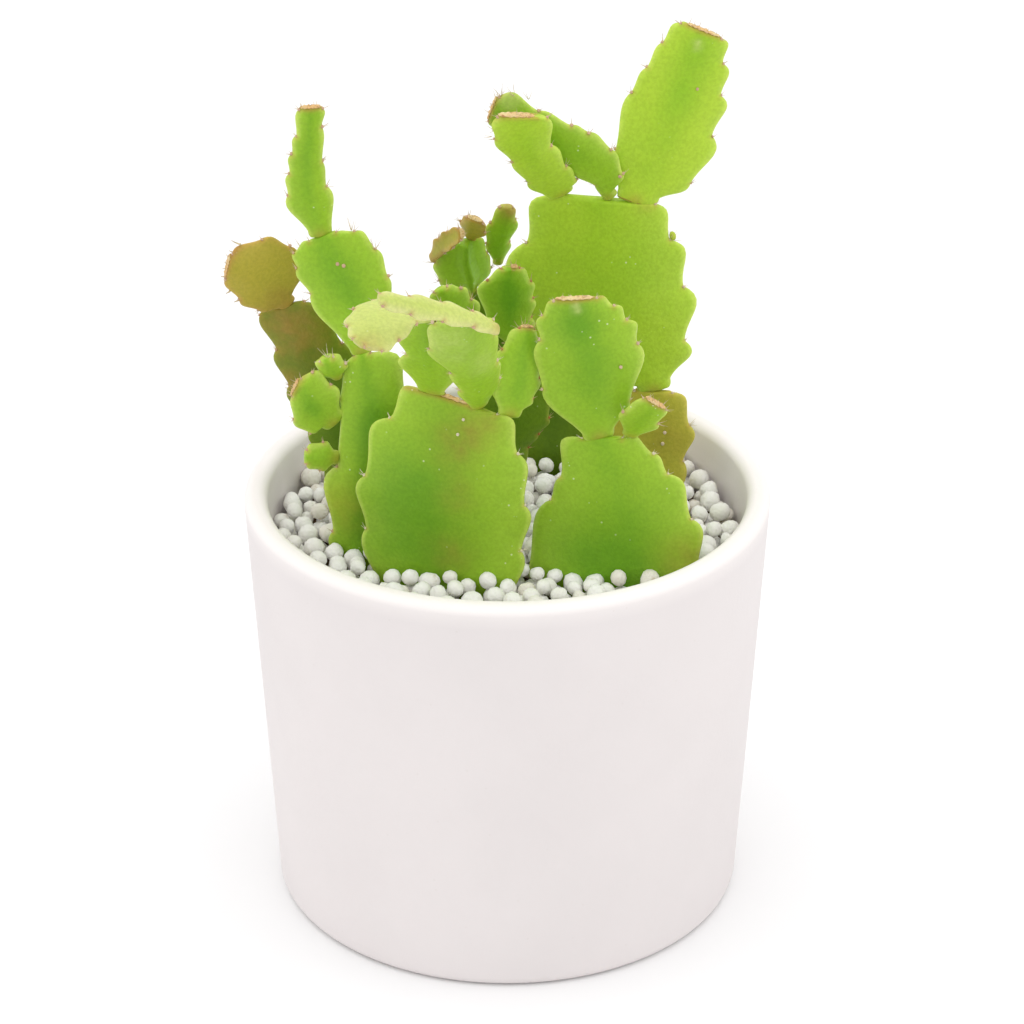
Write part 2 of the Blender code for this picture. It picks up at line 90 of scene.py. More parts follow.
@dataclass
class Pad:
    """One flat stem segment.

    seat is the place of its base on the pad that carries it: along, across to the right and, if it
    grows from a face, out of it. A pad with no carrier stands at seat = x, y on the soil. lean tips
    it to the right, forward tips it towards the viewer and turn swings its face to the right. cup
    brings its margins forward, and curl bends its length. A margin is a list of notches: along,
    distance from the midline, and how far the lobe below that notch swells, as a share of its length.
    skin names its colours, deep is how dark its middle is, scar is the corky part of its apex from
    -1 (left) to 1 (right), bristle is the length of its bristles, wool is how brown its areoles are,
    and spots are soft patches of another tone: kind, along, across, radius and strength. dots are
    areoles on its face: along and across. tufts are more bristles or barbs: along, across, degrees
    from the length towards the right, length, number and stoutness.
    """

    name: str
    seat: tuple
    length: float
    lean: float
    forward: float
    turn: float
    left: list
    right: list
    on: str = ""
    thick: float = 2.2
    cup: float = 0.0
    curl: float = 0.0
    rib: float = 0.0
    skin: str = "green"
    deep: float = 0.35
    scar: tuple = ()
    bristle: float = 1.3
    wool: float = 0.6
    spots: tuple = ()
    dots: tuple = ()
    tufts: tuple = ()


FRONT_LEFT_PADS = [
    Pad("front_left_base_pad", (-10.5, -21.0), 43.0, 1, -4, -11, thick=2.8, cup=-0.8,
        left=[(0, 5.0), (3, 13.5, 0.05), (14.8, 16.6, 0.13), (25.5, 16.8, 0.17), (37.5, 12.0, 0.2),
              (43.6, 6.0, 0.32)],
        right=[(0, 5.0), (3, 11.0, 0.05), (13.3, 13.0, 0.12), (22.5, 13.5), (32.6, 12.0), (40, 8.0, 0.28)],
        deep=0.3, scar=(-0.9, 0.3), bristle=1.5, wool=0.1, dots=((39.1, 2.1), (36.1, 1.1)),
        spots=(("deep", 24, -9, 9, 0.8), ("deep", 14, -10, 9, 0.6), ("deep", 8, -2, 6, 0.5),
               ("brown", 34, 1, 4.5, 0.45), ("brown", 24, 1, 3.5, 0.3), ("brown", 12, 0, 4, 0.35),
               ("brown", 39, 5, 4, 0.4))),
    Pad("front_left_inner_pad", (43.4, -3.49), 23.8, -4, 31, -20, on="front_left_base_pad", cup=0.6,
        left=[(0, 3.2), (11.3, 4.2, 0.2), (17.9, 3.8, 0.22), (23.2, 2.2, 0.3)],
        right=[(0, 2.0), (8, 3.7), (17, 3.9, 0.2), (23.4, 2.0, 0.1)], deep=0.2, wool=0.4),
    Pad("front_left_curled_pad", (41.4, 4.5), 30.0, -5, 33, 15, on="front_left_base_pad", cup=-2.5,
        curl=-20,
        left=[(0, 1.5), (8, 3.0, 0.1), (14, 4.0, 0.1), (21, 6.9, 0.14), (29, 5.4, 0.1), (30, 2.0, 0.1)],
        right=[(0, 2.2), (6, 4.8), (13, 4.6, 0.1), (21, 5.0, 0.1), (25, 5.2, 0.1)],
        deep=0.25, wool=0.35, dots=((31.0, -2.5), (27.9, 0.7)),
        spots=(("pale", 24, -4, 6, 0.35), ("pale", 16, 2, 3, 0.25))),
    Pad("front_left_folded_pad", (25.6, 5.2, 3.0), 26.0, -62, 29, 56, on="front_left_curled_pad",
        thick=1.8,
        left=[(0, 1.2), (5, 0.6, 0.1), (12, 0.9, 0.1), (19, 0.9, 0.1), (25, 0.5, 0.1)],
        # Painted light: this pad faces up and takes the pale skin, lightened as if lit from above.
        right=[(0, 1.2), (5, 2.4), (12, 2.6, 0.1), (19, 2.4, 0.1), (25.5, 1.6, 0.1)], skin="pale", deep=0.3),
    Pad("front_left_drooping_pad", (24.2, 1.2), 16.4, -90, 51, 72, on="front_left_inner_pad",
        thick=2.0, cup=-0.8, curl=-15,
        left=[(0, 1.4), (4, 0.4, 0.0), (10.5, 2.0, 0.1), (15.2, 2.2, 0.16), (16.8, -0.4, 0.2)],
        right=[(0, 2.2), (0.8, 6.0, 0.2), (5, 8.9, 0.08), (10, 9.2, 0.1), (15.0, 6.2, 0.16),
               (16.8, 3.0, 0.2)],
        # Painted light: this pad faces up and takes the pale skin, lightened as if lit from above.
        skin="pale", deep=0.1, spots=(("brown", 17, 0, 3, 0.4),)),
    Pad("front_left_round_pad", (39.42, 9.92, -1.11), 16.0, 12, -9, 20, on="front_left_base_pad", cup=-0.5,
        left=[(0, 2.2), (5.5, 4.0), (12, 3.9), (16.3, 1.5, 0.22)],
        right=[(0, 2.6), (3.3, 4.2, 0.25), (7.2, 4.6, 0.2), (10.4, 3.7), (14.6, 2.6), (16.4, 1.2)],
        deep=0.5, scar=(-1, 1), bristle=1.8, wool=0.9,
        tufts=((13.4, 1.4, 60, 3.2, 3, 1), (15.5, -2.4, 70, 3.4, 3, 1), (13.2, -4.2, 80, 2.4, 2, 1))),
]

FRONT_RIGHT_PADS = [
    Pad("front_right_base_pad", (19.5, -21.0), 34.0, -3, -7, -8, thick=2.8, cup=-0.8,
        left=[(0, 5.0), (7.5, 15.6), (22, 10.5, 0.12), (26.5, 8.5, 0.1), (34, 4.0, 0.36)],
        right=[(0, 5.0), (8, 16.5, 0.1), (18, 15.5, 0.18), (27, 11.5, 0.2), (31, 9.0), (34, 3.5, 0.26)],
        deep=0.35, bristle=1.4, wool=0.15,
        spots=(("deep", 7, 3, 10, 0.8), ("deep", 15, -5, 8, 0.4), ("brown", 10, 15, 5, 0.4))),
    Pad("front_right_upper_pad", (34.2, -0.8), 29.0, -10, 6, 4, on="front_right_base_pad",
        thick=2.4, cup=-0.6, curl=8,
        left=[(0, 3.0), (11.5, 8.6, 0.1), (22, 7.2, 0.12), (27, 6.0, 0.2), (29.6, 3.4, 0.2)],
        right=[(0, 3.0), (6, 6.8, 0.08), (17, 10.0), (22.5, 8.8, 0.26), (26, 7.0, 0.26),
               (28.3, 4.2, 0.26)],
        deep=0.45, scar=(-1, 0.95), bristle=1.0, wool=0.45, dots=((13.7, 6.2),),
        spots=(("deep", 25, -1, 5, 0.6), ("deep", 15, 0, 6, 0.3), ("pale", 28.4, 0.3, 0.7, 0.6),
               ("pale", 27.2, 0.4, 0.7, 0.5))),
    Pad("front_right_side_pad", (34.7, 4.9), 10.8, 25, 28, 12, on="front_right_base_pad", thick=2.0,
        left=[(0, 1.8), (6, 4.2), (11.4, 2.5, 0.12)],
        right=[(0, 1.5), (5, 3.2, 0.24), (9.6, 2.6)], deep=0.4, scar=(-1, 1), bristle=1.9),
]

BACK_RIGHT_PADS = [
    Pad("back_right_base_pad", (28.0, 17.0), 27.5, -1, 0, -7, thick=2.6,
        left=[(0, 4.0), (10, 7.5), (20, 7.5), (27.5, 3.0, 0.24)],
        right=[(0, 3.5), (12.8, 6.4, 0.12), (20.7, 7.6, 0.18), (27.3, 4.2, 0.26)],
        skin="olive", deep=0.15, bristle=1.8, wool=0.3, spots=(("brown", 18, 2, 5, 0.3),),
        dots=((19.4, 2.9), (17.0, 2.5))),
    Pad("back_right_large_pad", (27.92, 0.77), 42.6, -15, 4, -4, on="back_right_base_pad",
        thick=3.0, cup=-1.5, curl=6,
        left=[(0, 3.2), (5.5, 15.0, 0.1), (15, 22.0), (35.5, 16.0, 0.18), (44.5, 8.6, 0.26)],
        right=[(0, 3.6), (8.5, 8.2, 0.26), (19.5, 10.6, 0.22), (30, 10.5, 0.22), (38, 9.6, 0.2)],
        skin="bright", deep=0.3, bristle=1.3, wool=0.4,
        spots=(("deep", 32, 5, 6, 0.4), ("deep", 22, 1, 6, 0.35), ("deep", 41, -1, 4, 0.35),
               ("brown", 38.4, 7.9, 1.6, 0.35)),
        tufts=((30.1, 10.6, 20, 3.0, 4, 1), (30.1, 10.6, 70, 2.4, 3, 1), (35.1, -16.2, -60, 1.6, 2, 1))),
    Pad("back_right_top_pad", (39.6, 5.8), 35.0, 19, 1, 5, on="back_right_large_pad",
        thick=2.6, cup=-0.6, curl=8,
        left=[(0, 3.6), (8.4, 6.7, 0.12), (19.8, 7.6, 0.08), (25.5, 6.7, 0.1), (31, 5.7, 0.1),
              (35.6, 3.8, 0.2)],
        right=[(0, 4.6), (6, 9.2), (15.9, 9.9, 0.2), (24.2, 8.4, 0.2), (30.3, 6.5, 0.2),
               (34.9, 4.3, 0.26)],
        skin="bright", deep=0.4, scar=(-0.8, 1), bristle=1.2, wool=0.6, dots=((24.7, 3.4),),
        spots=(("deep", 31, 1, 5, 0.6), ("deep", 23, 1, 4, 0.4), ("pale", 33.4, 0.2, 0.7, 0.5),
               ("pale", 32.2, 0.6, 0.7, 0.4))),
    Pad("back_right_left_pad", (44.49, -6.61), 28.0, -24, 32, 3, on="back_right_large_pad",
        cup=0.5, curl=-10,
        left=[(0, 2.8), (8.5, 4.2, 0.1), (15.7, 4.6, 0.08), (23.6, 5.0, 0.08), (28, 2.4, 0.22)],
        right=[(0, 2.4), (2.2, 3.8, 0.2), (7.5, 3.4, 0.12), (15, 3.1, 0.12), (22.9, 5.3, 0.1)],
        skin="bright", deep=0.3, scar=(-1, 0.6), tufts=((24.5, -5.2, -70, 2.0, 2, 1),)),
    Pad("back_right_long_pad", (41.5, 2.02), 27.5, -50, 9, -16, on="back_right_large_pad",
        left=[(0, 1.2), (4, -0.3, 0.05), (8.5, 0.7, 0.05), (17, 1.4, 0.05), (26, 2.9, 0.08), (28, 1.9, 0.2)],
        right=[(0, 2.0), (1.8, 5.8), (7.2, 8.5, 0.12), (12.8, 8.6, 0.12), (16.3, 7.8), (22.9, 6.2, 0.12),
               (30.2, 3.6, 0.26)],
        deep=0.3, scar=(-1, 1), dots=((2.3, 5.6),),
        spots=(("brown", 25, 0, 3, 0.5), ("pale", 28.5, 5, 2.5, 0.6)),
        tufts=((30.1, 4.0, 20, 2.4, 5, 1), (28.4, 5.8, 30, 2.2, 5, 1), (26.0, 7.0, 45, 1.8, 4, 1))),
]

LEFT_PADS = [
    Pad("left_base_pad", (-28.5, -9.0), 47.5, 2, -1, -6, thick=2.8, cup=-0.6,
        left=[(0, 3.0), (10, 4.8), (23.5, 4.2, 0.18), (37.5, 4.0, -0.03), (46.5, 1.2, 0.12)],
        right=[(0, 3.0), (10, 5.0), (24, 6.0), (37.5, 9.0), (47.2, 1.6, 0.34)],
        deep=0.5, spots=(("deep", 12, 3, 6, 0.7), ("olive", 16, -3, 5, 0.5), ("deep", 34, 4, 6, 0.4))),
    Pad("left_side_pad", (32.6, -4.6), 10.8, -48, 10, -7, on="left_base_pad", thick=2.4,
        left=[(0, 2.6), (1.4, 4.9, 0.2), (6, 4.5, 0.2), (9.6, 0.6, 0.1)],
        right=[(0, 3.0), (6, 6.0, 0.2), (10.4, 5.9, 0.22), (10.9, 3.4, 0.1)],
        deep=0.5, scar=(-1, 1), spots=(("deep", 6, 0, 3, 0.5),)),
    Pad("left_low_pad", (25.5, -4.1), 5.8, -78, 20, 13, on="left_base_pad",
        left=[(0, 1.4), (2.8, 2.6, 0.22), (5.6, 1.4, 0.24)],
        right=[(0, 1.4), (2.8, 2.8, 0.22), (5.8, 1.2, 0.24)], deep=0.2, bristle=0.9),
    Pad("left_small_pad", (41.95, -4.35), 5.4, -20, 28, -2, on="left_base_pad", thick=2.6,
        left=[(0, 1.2), (2.6, 2.7, 0.3), (5.2, 1.4, 0.3)],
        right=[(0, 1.2), (2.6, 2.6, 0.3), (5.4, 1.2, 0.3)], deep=0.3, bristle=1.4, wool=0.3,
        tufts=((5.6, 0.3, 5, 2.4, 7, 1),)),
    Pad("left_upper_pad", (47.1, 0.2), 22.6, -16, -8, -7, on="left_base_pad", thick=2.4, cup=-0.6,
        left=[(0, 2.2), (12.7, 6.2, 0.1), (17.9, 7.4), (20.8, 7.0, 0.2), (22.2, 3.4, 0.2)],
        right=[(0, 2.0), (7.8, 8.2, 0.1), (12.5, 8.8, 0.1), (18, 8.0, 0.12), (22.2, 5.2, 0.2), (22.8, 2.0, 0.1)],
        deep=0.5, bristle=1.5, dots=((17.3, 0.8), (16.7, 1.8)), spots=(("deep", 14, -2, 5, 0.4),),
        tufts=((18.0, 7.8, 25, 2.4, 3, 1), (22.5, 4.8, 20, 2.4, 4, 1), (21.5, -5.4, -40, 1.6, 3, 1))),
    Pad("left_finger_pad", (22.91, -1.04), 26.2, -3, 9, 6, on="left_upper_pad", curl=6,
        left=[(0, 2.2), (8.5, 5.2), (13, 4.5), (17, 3.7), (20.5, 2.6), (26, 1.6, 0.1)],
        right=[(0, 2.2), (9.6, 1.9, 0.12), (15, 1.6, 0.06), (22, 2.1, 0.06), (25.8, 2.5, 0.14)],
        deep=0.45, scar=(-1, 1)),
]

FAR_LEFT_PADS = [
    Pad("far_left_base_pad", (-27.0, 13.0), 52.0, -17, 5, -4, thick=2.4,
        left=[(0, 3.0), (16, 3.5, 0.1), (25, 3.6), (35, 4.6), (43, 4.4), (51, 5.0, 0.1)],
        right=[(0, 3.0), (16, 6.0), (29, 8.0), (41, 8.0), (51.5, 4.0, 0.18)],
        # Painted shade: this pad takes the dark skin because it stands in shadow behind the others.
        skin="dark", deep=0.3, spots=(("brown", 47, 0, 8, 0.8), ("brown", 36, -5, 4, 0.5)),
        tufts=((51.0, 3.4, 60, 2.2, 4, 1), (34.3, -4.6, -80, 1.4, 1, 2.5))),
    Pad("far_left_top_pad", (51.8, 1.2), 15.5, -47, 24, 3, on="far_left_base_pad", thick=2.0,
        cup=0.6,
        left=[(0, 1.8), (4, 4.2), (9, 4.2), (14.4, 2.0)],
        right=[(0, 1.8), (4, 7.4, 0.2), (9, 10.2), (14.6, 8.4, 0.18), (17, 2.8, 0.18)],
        skin="tan", deep=0.15, scar=(-1, 1), bristle=1.0, spots=(("brown", 2, 0, 4, 0.6),),
        tufts=((17.2, 5.4, -10, 1.8, 1, 3), (16.7, 3.3, -25, 1.6, 1, 3), (15.0, 0.4, -40, 1.7, 1, 3),
               (14.4, -1.4, -50, 1.8, 1, 3), (11.8, -3.7, -75, 1.6, 1, 3), (8.9, -4.4, -80, 1.4, 1, 3))),
]

CENTRE_PADS = [
    Pad("centre_base_pad", (-1.5, 6.0), 41.0, 3, -1, 7, thick=2.4,
        left=[(0, 3.0), (11, 5.5), (20, 6.2), (30.5, 6.6), (41, 3.5, 0.2)],
        right=[(0, 2.5), (12, 2.8, 0.05), (20.7, 4.4, 0.05), (23.5, 6.2), (26.9, 8.0, 0.2), (36.5, 7.0),
               (41, 3.5, 0.2)],
        # Painted shade: this pad takes the dark skin because it stands in shadow behind the others.
        skin="dark", deep=0.3, wool=1.0),
    Pad("centre_round_pad", (41.2, 1.3), 17.0, -7, 9, 4, on="centre_base_pad", thick=2.4,
        left=[(0, 1.6), (7, 5.0, 0.1), (15.6, 3.7, 0.22), (17.6, 0.8)],
        right=[(0, 1.8), (6.2, 3.3, 0.18), (10.3, 4.1, 0.18), (14, 4.2, 0.2), (17.2, 2.4, 0.2)],
        deep=0.6, scar=(0.1, 1), bristle=1.2, wool=0.9, spots=(("deep", 12, 0, 4, 0.4),),
        tufts=((17.4, -0.6, 60, 2.4, 3, 1),)),
    Pad("centre_small_pad", (41.2, -3.2), 21.5, -30, 27, 3, on="centre_base_pad", thick=1.8,
        left=[(0, 1.2), (10.5, 4.4), (18, 3.9), (21.2, 1.4, 0.2)],
        right=[(0, 1.0), (8, 1.4, 0.08), (14.5, 2.9, 0.18), (18.5, 2.8, 0.2), (20.8, 1.0, 0.2)], deep=0.2),
]

BACK_PADS = [
    Pad("back_base_pad", (8.0, 29.0), 25.0, -6, 0, 1, thick=2.4,
        left=[(0, 3.0), (12, 4.5), (19.5, 5.0), (24.5, 2.5, 0.2)],
        # Painted shade: this pad takes the dark skin because it stands in shadow behind the others.
        right=[(0, 3.0), (9, 8.8), (17, 9.2), (24.5, 3.0, 0.2)], skin="dark"),
    Pad("back_middle_pad", (24.9, -0.3), 22.0, -34, 3, 2, on="back_base_pad",
        left=[(0, 1.6), (8.5, 4.2), (16.5, 3.8), (22, 1.6, 0.2)],
        # Painted shade: this pad takes the dark skin because it stands in shadow behind the others.
        right=[(0, 1.6), (6.5, 5.0), (15, 4.6), (21.5, 1.8, 0.2)], skin="dark"),
    Pad("back_ribbed_pad", (22.0, 0.0), 11.0, -4, 4, 18, on="back_middle_pad", thick=2.4, rib=2.2,
        cup=-1.5,
        left=[(0, 1.8), (3, 5.4, 0.2), (7, 5.8), (10.5, 4.0)],
        right=[(0, 1.8), (3.4, 5.2), (7, 4.4, 0.12), (11, 3.0)], deep=0.3, bristle=2.2),
    Pad("back_folded_pad", (7.9, -6.4, 0.7), 13.4, 34, 38, -50, on="back_ribbed_pad", thick=1.6, cup=1.0,
        left=[(0, 1.1), (6, 1.9, 0.1), (9.5, 1.9, 0.1), (12.8, 1.1)],
        right=[(0, 0.8), (5.0, 0.8, 0.0), (9.0, 1.2, 0.1), (12.4, 1.0, 0.1)], skin="tan", scar=(-1, 1)),
    Pad("back_yellow_pad", (11.4, 1.2), 7.6, 6, 38, -30, on="back_ribbed_pad", thick=1.6,
        left=[(0, 1.5), (3.2, 2.6, 0.15), (6.3, 1.2)],
        right=[(0, 1.4), (4.6, 2.9), (7.4, 2.2, 0.2)], skin="tan", scar=(-1, 1), bristle=1.6),
    Pad("back_oblong_pad", (3.6, 6.9), 14.2, 10, 18, 13, on="back_ribbed_pad", thick=2.0,
        left=[(0, 1.2), (4.7, 3.2, 0.1), (10, 3.2), (13.9, 2.0, 0.1)],
        right=[(0, 1.0), (5.3, 1.2), (11, 1.5), (13.9, 0.4, 0.18)],
        deep=0.3, bristle=0.8, spots=(("pink", 14, 0, 2.5, 0.7),)),
]

PADS = (FRONT_LEFT_PADS + FRONT_RIGHT_PADS + BACK_RIGHT_PADS + LEFT_PADS + FAR_LEFT_PADS
        + CENTRE_PADS + BACK_PADS)

# Skins: face, deep middle, margin (the skin's own yellow-green edge, also used as the painted highlight on the thin
# rim), and how many pale specks
SKINS = {
    "green": ((0.31, 0.53, 0.024), (0.16, 0.37, 0.013), (0.60, 0.74, 0.14), 0.5),
    "bright": ((0.43, 0.64, 0.036), (0.30, 0.54, 0.022), (0.62, 0.78, 0.13), 0.35),
    # The pale skin is the green skin lit up: painted light from above, for the two pads that face up towards it.
    "pale": ((0.60, 0.67, 0.19), (0.42, 0.54, 0.08), (0.72, 0.72, 0.30), 0.15),
    "olive": ((0.50, 0.46, 0.05), (0.33, 0.42, 0.03), (0.62, 0.55, 0.10), 0.3),
    # The dark skin is the green skin at about half its brightness: painted shade for the pads that stand in shadow
    # behind the others.
    "dark": ((0.15, 0.26, 0.012), (0.07, 0.16, 0.006), (0.28, 0.36, 0.03), 0.3),
    "tan": ((0.47, 0.40, 0.05), (0.36, 0.36, 0.03), (0.60, 0.38, 0.10), 0.2),
}
BLUSH = {"deep": None, "brown": (0.36, 0.24, 0.045), "pale": (0.62, 0.68, 0.24), "olive": (0.42, 0.44, 0.04),
         "pink": (0.55, 0.26, 0.12)}
AREOLE_BLUSH = (0.45, 0.22, 0.06)
CREAM = (0.82, 0.76, 0.58)


# Settings shown in the sidebar

def length(name, description, default):
    """Return a length setting, in metres."""
    return FloatProperty(name=name, description=description, default=default, min=0.0, precision=5,
                         unit="LENGTH", subtype="DISTANCE")


def colour(name, description, default):
    """Return a colour setting, in linear values."""
    return FloatVectorProperty(name=name, description=description, default=default, size=3, min=0.0,
                               max=1.0, subtype="COLOR")


class PotSettings(bpy.types.PropertyGroup):
    """Finish of the pot and the stones in it"""

    glaze: colour("Ceramic", "Colour of the matte ceramic", (0.80, 0.75, 0.745))
    # The lip colour is lighter than the ceramic where the top of the rim catches the light above: painted light.
    lip: colour("Lip", "Colour of the thinly glazed lip", (0.93, 0.88, 0.86))
    soil: colour("Soil", "Colour of the potting mix", (0.10, 0.06, 0.035))
    pebble: colour("Pebble", "Colour of a clean pebble", (0.95, 0.94, 0.91))
    stain: colour("Pebble stain", "Colour in the hollows of the pebbles", (0.52, 0.38, 0.20))
    smallest_pebble: length("Smallest pebble", "Radius of the smallest pebble", 0.0014)
    largest_pebble: length("Largest pebble", "Radius of the largest pebble", 0.0022)
    seed: IntProperty(name="Seed", description="Order in which the pebbles fall", default=7)


class PlantSettings(bpy.types.PropertyGroup):
    """Small parts that grow on the pads"""

    areole: length("Areole", "Radius of the woolly cushion in a notch", 0.00027)
    bristle_radius: length("Bristle", "Radius of a bristle at its root", 0.00007)
    scar: length("Scar", "Half height of the corky apex", 0.00024)
    cork: colour("Cork", "Colour of the dry apex", (0.78, 0.50, 0.22))
    wool: colour("Areole", "Colour of the brownest areoles", (0.44, 0.13, 0.05))
    straw: colour("Bristles", "Colour of the bristles", (0.70, 0.52, 0.27))


class StageSettings(bpy.types.PropertyGroup):
    """Floor and lights"""

    floor: colour("Floor", "Colour of the floor", (0.93, 0.93, 0.93))
    sky: FloatProperty(name="Sky", description="Strength of the even light all round", default=0.86)
    overhead: FloatProperty(name="Overhead", description="Power of the large light above", default=12.0,
                            unit="POWER")
    side: FloatProperty(name="Side", description="Power of the light at either side", default=3.0,
                        unit="POWER")


# Meshes and materials

def make_skins(name, rings, uv=None, **marks):
    """Make closed skins from rings of points: skins, rows, points round a ring, xyz in millimetres.

    Neighbouring rings are bridged, and the first and last ring close with a fan to their middle.
    marks are numbers for each ring point, kept as attributes; a pole takes its ring's mean.
    """
    count, rows, around = rings.shape[:3]

    def with_poles(values):
        ends = np.stack([values[:, 0].mean(axis=1), values[:, -1].mean(axis=1)], axis=1)
        return np.concatenate([values.reshape(count, rows * around, -1), ends.reshape(count, 2, -1)], axis=1)

    row, column = np.meshgrid(np.arange(rows - 1), np.arange(around), indexing="ij")
    following = (column + 1) % around
    quads = np.stack([row * around + column, row * around + following,
                      (row + 1) * around + following, (row + 1) * around + column], axis=-1).reshape(-1, 4)
    near, far = np.arange(around), (np.arange(around) + 1) % around
    last = (rows - 1) * around
    start_fan = np.stack([np.full(around, rows * around), far, near], axis=-1)
    end_fan = np.stack([np.full(around, rows * around + 1), last + near, last + far], axis=-1)
    fans = np.concatenate([start_fan, end_fan])
    step = np.arange(count)[:, None, None] * (rows * around + 2)
    corners = np.concatenate([(quads[None] + step).ravel(), (fans[None] + step).ravel()])
    totals = np.concatenate([np.full(count * len(quads), 4), np.full(count * len(fans), 3)])
    mesh = bpy.data.meshes.new(name)
    mesh.vertices.add(count * (rows * around + 2))
    mesh.vertices.foreach_set("co", (with_poles(rings) * MM).ravel())
    mesh.loops.add(len(corners))
    mesh.loops.foreach_set("vertex_index", corners)
    mesh.polygons.add(len(totals))
    mesh.polygons.foreach_set("loop_start", np.concatenate([[0], np.cumsum(totals)[:-1]]))
    for key, values in marks.items():
        attribute = mesh.attributes.new(key, "FLOAT", "POINT")
        attribute.data.foreach_set("value", with_poles(np.broadcast_to(values, rings.shape[:3])[..., None]).ravel())
    if uv is not None:
        layer = mesh.uv_layers.new(name="UVMap")
        layer.uv.foreach_set("vector", with_poles(uv).reshape(-1, 2)[corners].ravel())
    mesh.update()
    mesh.shade_smooth()
    return mesh


def place_piece(name, mesh, material, stands_for=()):
    """Put a piece on the plant's one body, in place of the CAD nodes it stands for."""
    mesh.materials.append(material)
    piece = bpy.data.objects.new(name, mesh)
    bpy.context.scene.collection.objects.link(piece)
    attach(piece, "root")
    if stands_for:
        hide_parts(*stands_for)
    return piece


def add_node(tree, kind, inputs=None, **settings):
    """Add a shader node: inputs are values, or sockets to link from."""
    new = tree.nodes.new(kind)
    for key, value in settings.items():
        setattr(new, key, value)
    for key, value in (inputs or {}).items():
        if isinstance(value, bpy.types.NodeSocket):
            tree.links.new(value, new.inputs[key])
        else:
            new.inputs[key].default_value = value
    return new


def mix(tree, share, low, high, blend="MIX"):
    """Blend two colours and return the result's socket."""
    colours = {key: (*value, 1.0) if isinstance(value, tuple) else value for key, value in ((6, low), (7, high))}
    return add_node(tree, "ShaderNodeMix", {0: share, **colours}, data_type="RGBA",
                    blend_type=blend).outputs[2]


def ramp(tree, value, low, high, to_low=0.0, to_high=1.0):
    """Map a value smoothly from one range to another, clamped, and return the result's socket."""
    return add_node(tree, "ShaderNodeMapRange", {0: value, 1: low, 2: high, 3: to_low, 4: to_high},
                    interpolation_type="SMOOTHSTEP").outputs[0]


def maths(tree, operation, first, second=0.0):
    """Work out one number from two and return its socket."""
    return add_node(tree, "ShaderNodeMath", {0: first, 1: second}, operation=operation).outputs[0]


def noise(tree, vector, scale, detail=2.0, rough=0.5):
    """Return the value of a noise pattern."""
    return add_node(tree, "ShaderNodeTexNoise", {"Vector": vector, "Scale": scale, "Detail": detail,
                                                 "Roughness": rough}).outputs["Fac"]


def mark(tree, name):
    """Return the value of a mark on the mesh."""
    return add_node(tree, "ShaderNodeAttribute", attribute_name=name).outputs["Fac"]


def new_material(name, roughness, specular=0.3):
    """Return a non-metal material, its tree, its shader and its Object coordinates."""
    material = bpy.data.materials.new(name)
    material.use_nodes = True
    tree = material.node_tree
    shader = tree.nodes["Principled BSDF"]
    shader.inputs["Roughness"].default_value = roughness
    shader.inputs["Specular IOR Level"].default_value = specular
    return material, tree, shader, tree.nodes.new("ShaderNodeTexCoord").outputs["Object"]


def add_bump(tree, shader, height, distance, strength=1.0):
    """Give a shader a bump of that depth in metres."""
    bump = add_node(tree, "ShaderNodeBump", {"Height": height, "Distance": distance, "Strength": strength})
    tree.links.new(bump.outputs["Normal"], shader.inputs["Normal"])


def grain_group():
    """Fine grain for matte surfaces: a colour that wanders between two tones, and a height."""
    group = bpy.data.node_groups.get("fine_grain")
    if group:
        return group
    group = bpy.data.node_groups.new("fine_grain", "ShaderNodeTree")
    for name, kind in (("Vector", "NodeSocketVector"), ("Tone", "NodeSocketColor"), ("Other Tone", "NodeSocketColor"),
                       ("Patch Scale", "NodeSocketFloat"), ("Grain Scale", "NodeSocketFloat"),
                       ("Amount", "NodeSocketFloat")):
        group.interface.new_socket(name=name, in_out="INPUT", socket_type=kind)
    group.interface.new_socket(name="Colour", in_out="OUTPUT", socket_type="NodeSocketColor")
    group.interface.new_socket(name="Height", in_out="OUTPUT", socket_type="NodeSocketFloat")
    into, out = group.nodes.new("NodeGroupInput").outputs, group.nodes.new("NodeGroupOutput").inputs
    patches = noise(group, into["Vector"], into["Patch Scale"], 4.0, 0.55)
    grain = noise(group, into["Vector"], into["Grain Scale"], 3.0, 0.6)
    share = maths(group, "MULTIPLY", ramp(group, patches, 0.35, 0.7), into["Amount"])
    group.links.new(mix(group, share, into["Tone"], into["Other Tone"]), out["Colour"])
    group.links.new(maths(group, "ADD", grain, maths(group, "MULTIPLY", patches, 0.5)), out["Height"])
    return group


def add_grain(tree, vector, tone, other, patch_scale, grain_scale, amount):
    """Add the fine grain with its own values and return its outputs."""
    values = {"Vector": vector, "Tone": (*tone, 1.0), "Other Tone": (*other, 1.0), "Patch Scale": patch_scale,
              "Grain Scale": grain_scale, "Amount": amount}
    added = tree.nodes.new("ShaderNodeGroup")
    added.node_tree = grain_group()
    for key, value in values.items():
        if isinstance(value, bpy.types.NodeSocket):
            tree.links.new(value, added.inputs[key])
        else:
            added.inputs[key].default_value = value
    return added.outputs


# Pads

def pad_axes(pad):
    """Return the unit directions of a pad: along, across to the right, and out of its face."""
    lean, forward, turn = radians(pad.lean), radians(pad.forward), radians(pad.turn)
    along = np.array([cos(forward) * sin(lean), -sin(forward), cos(forward) * cos(lean)])
    face = np.array([-sin(forward) * sin(lean), -cos(forward), -sin(forward) * cos(lean)])
    across = np.array([cos(lean), 0.0, -sin(lean)])
    turned_face = cos(turn) * face + sin(turn) * across
    turned_across = cos(turn) * across - sin(turn) * face
    return along, turned_across, turned_face


